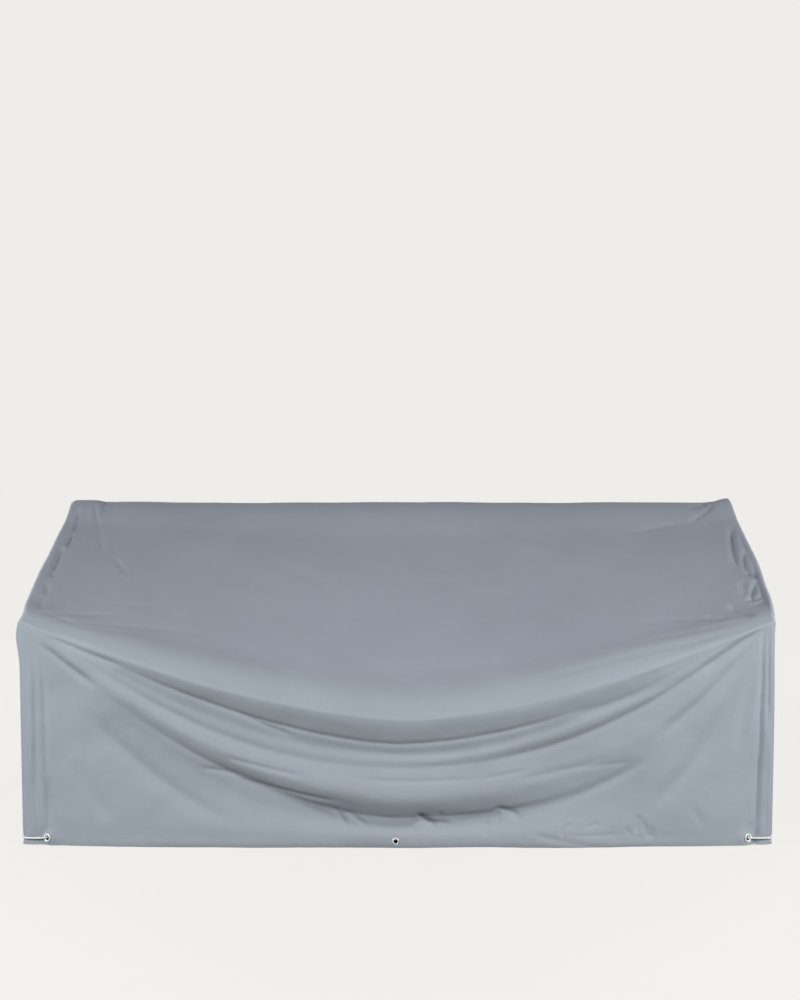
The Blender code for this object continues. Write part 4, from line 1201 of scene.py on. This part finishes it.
# ---------------------------------------------------------------- operators
# How far beyond the panels' own rows the front panel's ends go, as (x, y, z) steps.
TUCK_UNDER_HEM = np.array([0, 0.0012, -0.006])
LAP_OVER_BACK = np.array([0, 0, -LAP])
LAP_INWARDS = np.array([0, -0.0012, 0])
FIRST_FALL_ROW = 0.0012  # the share of the fall where its second row lies, next to the hem's seam
SLOPE_CROWDING = 1.15  # how much closer the slope's rows lie near the lip
LAST_KNOT = len(FOLDS) + len(SLOPE_SHARES) + BACK_ROLL_STEPS + 1

HEM_ROWS = [[0, 0.03], np.linspace(0.06, 0.985, 9), [1]]  # shares of the hem's height
HEM_PROUD_FADE = 0.5  # the share of the hem's height over which it draws level with the front
HEM_FOLD_BEHIND = 0.0010  # how far behind the hem's face its lower fold lies
HEM_TOP_BEHIND = 0.0009  # the same of its top edge, which tucks in at the seam

CORD_SHARE = 0.97  # the braid between its strands, as a share of the cord's thickness
CORD_ROWS = 240
KNOT_BEHIND = 0.0085  # how far beyond the cord's end its knot's middle lies
KNOT_RADIUS = 0.0062
KNOT_STRAND = 0.0023  # radius of the cord where it is drawn tight


def finish_piece(piece, slot, *nodes):
    """Rides on the cover and stands for its solids, which it hides; slot is not used."""
    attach(piece, "root")
    if nodes:
        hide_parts(*nodes)
    return piece


def front_columns():
    """The places across the cover of the front panel's columns."""
    count = int(2 * EDGE_X / COLUMN)
    return np.linspace(-EDGE_X, EDGE_X, count + 1)


class COVER_OT_front_top(bpy.types.Operator):
    """Drapes the front and top panel from the hem over the lip to the back's top edge"""

    bl_idname = "cover.front_top"
    bl_label = "Front and Top Panel"

    def execute(self, context):
        sizes = context.scene.cover_sizes
        x = front_columns()
        fall = np.concatenate([[0, FIRST_FALL_ROW], np.linspace(0, 1, FALL_ROWS + 1)[1:]])
        slope = np.linspace(0, 1, SLOPE_ROWS + 1) ** SLOPE_CROWDING
        low, lip_y, lip_z = front_sections(x, HEM_TOP, LIP, fall)
        high, _, _ = front_sections(x, LIP, LAST_KNOT, slope)
        part = np.concatenate([low, high[:, 1:]], axis=1)
        points = front_surface(x, part, lip_y, lip_z, sizes.fold_scale)
        lap = points[:, -1:] + LAP_OVER_BACK
        ends = [points[:, :1] + TUCK_UNDER_HEM, points, lap, lap + LAP_INWARDS]
        points = np.concatenate(ends, axis=1)
        GRIDS["front_top"] = points.copy()
        piece = sheet_object("cover_front_and_top", points, shared_material(context, "cloth"))
        finish_piece(piece, "coated_cloth", "front_top")
        return {"FINISHED"}


class COVER_OT_front_hem(bpy.types.Operator):
    """Sews the hem band along the front's lower edge, with its eyelet holes"""

    bl_idname = "cover.front_hem"
    bl_label = "Front Hem"

    def execute(self, context):
        sizes = context.scene.cover_sizes
        x = front_columns()
        shares = np.concatenate(HEM_ROWS)
        part, lip_y, lip_z = front_sections(x, 0, HEM_TOP, shares)
        points = front_surface(x, part, lip_y, lip_z, sizes.fold_scale)
        normal = normals_of(points)
        proud = HEM_PROUD * smooth((1 - shares) / HEM_PROUD_FADE)
        points = points + normal * proud[None, :, None]
        GRIDS["front_hem"] = points.copy()
        top = points[:, -1] - normal[:, -1] * HEM_TOP_BEHIND
        behind, fold = -normal[:, 2] * HEM_BEHIND, -normal[:, 2] * HEM_FOLD_BEHIND
        points = turned_up(points, behind, fold, sizes.hem_turn)
        points = np.concatenate([points, top[:, None]], axis=1)
        piece = sheet_object("cover_front_hem", points, shared_material(context, "cloth"),
                             holes_for("front_hem"))
        finish_piece(piece, "coated_cloth", "front_hem")
        return {"FINISHED"}


class COVER_OT_side_panels(bpy.types.Operator):
    """Hangs the two side panels"""

    bl_idname = "cover.side_panels"
    bl_label = "Side Panels"

    def execute(self, context):
        sizes = context.scene.cover_sizes
        for side, word in ((-1, "left"), (1, "right")):
            points = side_surface(side, sizes.fold_scale)
            GRIDS["side_" + word] = points.copy()
            behind = np.array([-side * HEM_BEHIND, 0, 0])
            points = turned_up(points, behind, behind / 2, sizes.hem_turn)
            face = side * (HALF - PANEL_INSET + HEM_STEP)
            holes = [(Vector((face, c.y, c.z)), r) for c, r in holes_for("side_" + word)]
            piece = sheet_object("cover_side_" + word, points, shared_material(context, "cloth"),
                                 holes, flip=side < 0)
            finish_piece(piece, "coated_cloth", "side_" + word)
        return {"FINISHED"}


class COVER_OT_back_panel(bpy.types.Operator):
    """Hangs the back panel"""

    bl_idname = "cover.back_panel"
    bl_label = "Back Panel"

    def execute(self, context):
        sizes = context.scene.cover_sizes
        points = back_surface(sizes.fold_scale)
        GRIDS["back"] = points.copy()
        behind = np.array([0, -HEM_BEHIND, 0])
        points = turned_up(points, behind, behind / 2, sizes.hem_turn)
        piece = sheet_object("cover_back", points, shared_material(context, "cloth"),
                             holes_for("back"))
        finish_piece(piece, "coated_cloth", "back")
        return {"FINISHED"}


class COVER_OT_stitching(bpy.types.Operator):
    """Stitches the hems and the seams"""

    bl_idname = "cover.stitching"
    bl_label = "Stitching"

    def execute(self, context):
        if len(GRIDS) < 5:
            raise RuntimeError("the panels come before their stitches")
        sizes = context.scene.cover_sizes
        thread = shared_material(context, "thread")
        grids = {name: (points, normals_of(points)) for name, points in GRIDS.items()}
        # Each line follows the row or column of its panel's grid that lies next to its seam or hem.
        front, hem = grids["front_top"], grids["front_hem"]
        lines = {"front_hem": [line_of(*hem, "row", -4)]}
        lines["side_seams"] = [line_of(*front, "column", index, 1, -3) for index in (2, -3)]
        lines["side_seams"] += [line_of(*hem, "column", index) for index in (2, -3)]
        lines["back_seam"] = [line_of(*front, "row", -3, 8, -8)]
        for word, sign in (("left", 1), ("right", -1)):
            points, normals = grids["side_" + word]
            lines["side_hem_" + word] = [(points[3:-3, 6], normals[3:-3, 6] * sign)]
        back = grids["back"]
        lines["back_hem"] = [line_of(*back, "row", 7, 8, -8)]
        lines["back_seams"] = [line_of(*back, "column", index, 1, -2) for index in (2, -3)]
        for name, found in lines.items():
            piece = stitches_object("stitches_" + name, found, sizes, thread)
            finish_piece(piece, "coated_cloth")
        return {"FINISHED"}


class COVER_OT_eyelets(bpy.types.Operator):
    """Sets the metal eyelets in the hem"""

    bl_idname = "cover.eyelets"
    bl_label = "Eyelets"

    def execute(self, context):
        for eyelet in eyelets():
            piece = eyelet_object(eyelet, shared_material(context, "metal"))
            finish_piece(piece, "eyelet_metal", "eyelet_" + eyelet.name)
        return {"FINISHED"}


class COVER_OT_corner_cords(bpy.types.Operator):
    """Draws each lower corner together with an elastic cord, knotted behind both eyelets"""

    bl_idname = "cover.corner_cords"
    bl_label = "Corner Cords"

    def execute(self, context):
        places = {eyelet.name: eyelet for eyelet in eyelets()}
        material = shared_material(context, "cord")
        for side, word in ((-1, "left"), (1, "right")):
            for end, end_word in ((-1, "front"), (1, "back")):
                first, second = places[f"{end_word}_{word}"], places[f"{word}_{end_word}"]
                corner = Vector((side * HALF, end * BACK_Y, EYELET_HEIGHT))
                route = cord_route(first, second, corner)
                run = run_along(route)
                centres = points_at(route, run, np.linspace(0, run[-1], CORD_ROWS))
                name = f"cord_{end_word}_{word}"
                cord = tube_object(f"{name}_braid", centres, CORD_RADIUS * CORD_SHARE, material, 16, 4)
                finish_piece(cord, "elastic_cord", name)
                for tip, eyelet in ((0, first), (-1, second)):
                    centre = Vector(centres[tip]) - eyelet.normal * KNOT_BEHIND
                    loop = knot_loop(centre, eyelet.normal, KNOT_RADIUS)
                    name_of_knot = f"{name}_knot_{eyelet.name}"
                    knot = tube_object(name_of_knot, loop, KNOT_STRAND, material, 10, 0)
                    finish_piece(knot, "elastic_cord")
        return {"FINISHED"}


# ---------------------------------------------------------------- the stage
Softbox = namedtuple("Softbox", "name power place")
SOFTBOXES = [
    Softbox("left_softbox", 120, (-2.9, -2.6, 1.65)),
    Softbox("right_softbox", 136, (2.9, -2.6, 1.65)),
    Softbox("left_back_softbox", 105, (-3.4, 2.6, 1.3)),
    Softbox("right_back_softbox", 70, (3.4, 2.6, 1.3)),
]
SOFTBOX_SIZE = 1.6
SOFTBOX_AIM = (0, -0.2, 0.4)
FILL = 0.16  # the brightness of the light from above
FILL_COLOUR = (0.95, 0.97, 1.0, 1)
FILL_START, FILL_END = -0.05, 0.35  # it grows from the first height to the second

STUDIO_RADIUS = 30.0
STUDIO_HEIGHT = 18.0
STUDIO_SEGMENTS = 96
STUDIO_FLAT = 0.5  # how much of its radius is one flat face
STUDIO_BEND = 0.2  # how much of its radius the bend from the floor to the wall takes
BEND_STEPS = 8
FLOOR_Z = -0.0015
SHADE_LIFT = 0.0005  # how far the shaded floor lies over the pale one
SHADE_X, SHADE_Y = 1.00, 0.41  # half sizes of the floor that the cover keeps dark
SHADE_CUT_X, SHADE_CUT_Y = 0.07, 0.04  # what the raised corners of the hem take off it
SHADE_COLOUR = (0.02, 0.02, 0.02, 1)
FLOOR_SHADOW = 0.08  # how much of the floor's brightness the light gives, near the cover
SHADOW_START, SHADOW_END = 1.6, 4.0  # over these distances from the middle it fades away
FLOOR_LIT = 0.80  # what the lights give a white floor

CAMERA_BACK = 5.3293  # how far in front of the hem the camera stands
CAMERA_HEIGHT = 1.5214
CAMERA_PITCH = 6.0  # degrees below the level
CAMERA_LENS = 70.194  # millimetres, like the sensor's width
CAMERA_SENSOR = 36
CAMERA_SHIFT_X, CAMERA_SHIFT_Y = 0.0025, 0.0044


def floor_material(colours):
    """An evenly pale studio floor that takes a faint shadow near the cover."""
    made, tree, shader = new_material("studio_floor")
    reach = {0: add_node(tree, "TexCoord", {})["Object"]}
    reach = add_node(tree, "VectorMath", reach, operation="LENGTH")["Value"]
    lit = add_range(tree, reach, FLOOR_SHADOW, 0.0, SHADOW_START, SHADOW_END, "SMOOTHSTEP")
    base = add_node(tree, "VectorMath", {0: colours.floor, "Scale": lit}, operation="SCALE")
    wire(tree, shader, {
        "Base Color": base["Vector"],
        "Emission Strength": add_math(tree, "MULTIPLY_ADD", lit, -FLOOR_LIT, 1.0),
        "Emission Color": (*colours.floor, 1),
        "Roughness": 1.0,
        "Specular IOR Level": 0.0,
    })
    return made


def shaded_material():
    """The floor under the cover, where no light comes."""
    made, tree, shader = new_material("shaded_floor")
    wire(tree, shader, {"Base Color": SHADE_COLOUR, "Roughness": 1.0, "Specular IOR Level": 0.0})
    return made


def studio_fill():
    """Soft light that comes from above and dies away towards the floor."""
    world = bpy.data.worlds.new("studio")
    world.use_nodes = True
    tree = world.node_tree
    place = add_node(tree, "TexCoord", {})["Generated"]
    height = add_node(tree, "SeparateXYZ", {"Vector": place})["Z"]
    strength = add_range(tree, height, 0.0, FILL, FILL_START, FILL_END)
    wire(tree, tree.nodes["Background"], {"Color": FILL_COLOUR, "Strength": strength})
    return world


def studio_object(colours):
    """A pale floor that runs on into a wall all round, far behind the cover."""
    mesh = bmesh.new()
    bend = STUDIO_RADIUS * STUDIO_BEND
    profile = [(STUDIO_RADIUS * STUDIO_FLAT, 0.0), (STUDIO_RADIUS - bend, 0.0)]
    for step in range(1, BEND_STEPS + 1):
        angle = math.pi / (2 * BEND_STEPS) * step
        profile.append((STUDIO_RADIUS - bend + bend * math.sin(angle), bend - bend * math.cos(angle)))
    profile.append((STUDIO_RADIUS, STUDIO_HEIGHT))
    rings = []
    for radius, height in profile:
        ring = []
        for step in range(STUDIO_SEGMENTS):
            angle = 2 * math.pi * step / STUDIO_SEGMENTS
            place = (radius * math.cos(angle), radius * math.sin(angle), height + FLOOR_Z)
            ring.append(mesh.verts.new(place))
        rings.append(ring)
    mesh.faces.new(rings[0])
    for ring, after in zip(rings, rings[1:]):
        for k in range(STUDIO_SEGMENTS):
            j = (k + 1) % STUDIO_SEGMENTS
            mesh.faces.new((ring[k], after[k], after[j], ring[j]))
    near_x, near_y = SHADE_X - SHADE_CUT_X, SHADE_Y - SHADE_CUT_Y
    half = [(-near_x, -SHADE_Y), (near_x, -SHADE_Y), (SHADE_X, -near_y), (SHADE_X, near_y)]
    corners = half + [(-x, -y) for x, y in half]
    lifted = FLOOR_Z + SHADE_LIFT
    shaded = mesh.faces.new([mesh.verts.new((x, y, lifted)) for x, y in corners])
    shaded.material_index = 1
    return mesh_object("studio_floor", mesh, floor_material(colours), shaded_material())


class COVER_OT_stage(bpy.types.Operator):
    """Sets the floor, the studio light and the camera"""

    bl_idname = "cover.stage"
    bl_label = "Stage"

    def execute(self, context):
        scene, colours = context.scene, context.scene.cover_colours
        floor = studio_object(colours)
        floor.visible_diffuse = False
        floor.visible_glossy = False
        floor.visible_shadow = False

        scene.world = studio_fill()
        for softbox in SOFTBOXES:
            data = bpy.data.lights.new(softbox.name, "AREA")
            data.energy = softbox.power
            data.size = SOFTBOX_SIZE
            made = bpy.data.objects.new(softbox.name, data)
            made.location = softbox.place
            aim = Vector(SOFTBOX_AIM) - Vector(softbox.place)
            made.rotation_euler = aim.to_track_quat("-Z", "Y").to_euler()
            made.visible_camera = False
            scene.collection.objects.link(made)
        camera = bpy.data.cameras.new("camera")
        camera.lens = CAMERA_LENS
        camera.sensor_width = CAMERA_SENSOR
        camera.shift_x = CAMERA_SHIFT_X
        camera.shift_y = CAMERA_SHIFT_Y
        holder = bpy.data.objects.new("camera", camera)
        holder.location = (0, FRONT_Y - CAMERA_BACK, CAMERA_HEIGHT)
        holder.rotation_euler = (math.radians(90 - CAMERA_PITCH), 0, 0)
        scene.collection.objects.link(holder)
        scene.camera = holder
        scene.view_settings.view_transform = "Standard"
        return {"FINISHED"}


STEPS = (
    COVER_OT_stage,
    COVER_OT_front_top,
    COVER_OT_front_hem,
    COVER_OT_side_panels,
    COVER_OT_back_panel,
    COVER_OT_stitching,
    COVER_OT_eyelets,
    COVER_OT_corner_cords,
)


class COVER_PT_panel(bpy.types.Panel):
    """Lists the cover's sizes and colours and the steps that build it"""

    bl_idname = "COVER_PT_panel"
    bl_label = "Patio Furniture Cover"
    bl_space_type = "VIEW_3D"
    bl_region_type = "UI"
    bl_category = "Cover"

    def draw(self, context):
        layout = self.layout
        for group in (context.scene.cover_sizes, context.scene.cover_colours):
            column = layout.column(align=True)
            for name in group.bl_rna.properties.keys():
                if name not in ("rna_type", "name"):
                    column.prop(group, name)
        column = layout.column(align=True)
        for step in STEPS:
            column.operator(step.bl_idname)


CLASSES = (CoverSizes, CoverColours, *STEPS, COVER_PT_panel)


def register():
    for cls in CLASSES:
        bpy.utils.register_class(cls)
    bpy.types.Scene.cover_sizes = PointerProperty(type=CoverSizes)
    bpy.types.Scene.cover_colours = PointerProperty(type=CoverColours)


def unregister():
    del bpy.types.Scene.cover_colours
    del bpy.types.Scene.cover_sizes
    for cls in reversed(CLASSES):
        bpy.utils.unregister_class(cls)


def main():
    register()
    bpy.ops.cover.stage()
    bpy.ops.cover.front_top()
    bpy.ops.cover.front_hem()
    bpy.ops.cover.side_panels()
    bpy.ops.cover.back_panel()
    bpy.ops.cover.stitching()
    bpy.ops.cover.eyelets()
    bpy.ops.cover.corner_cords()


if __name__ == "__main__":
    main()
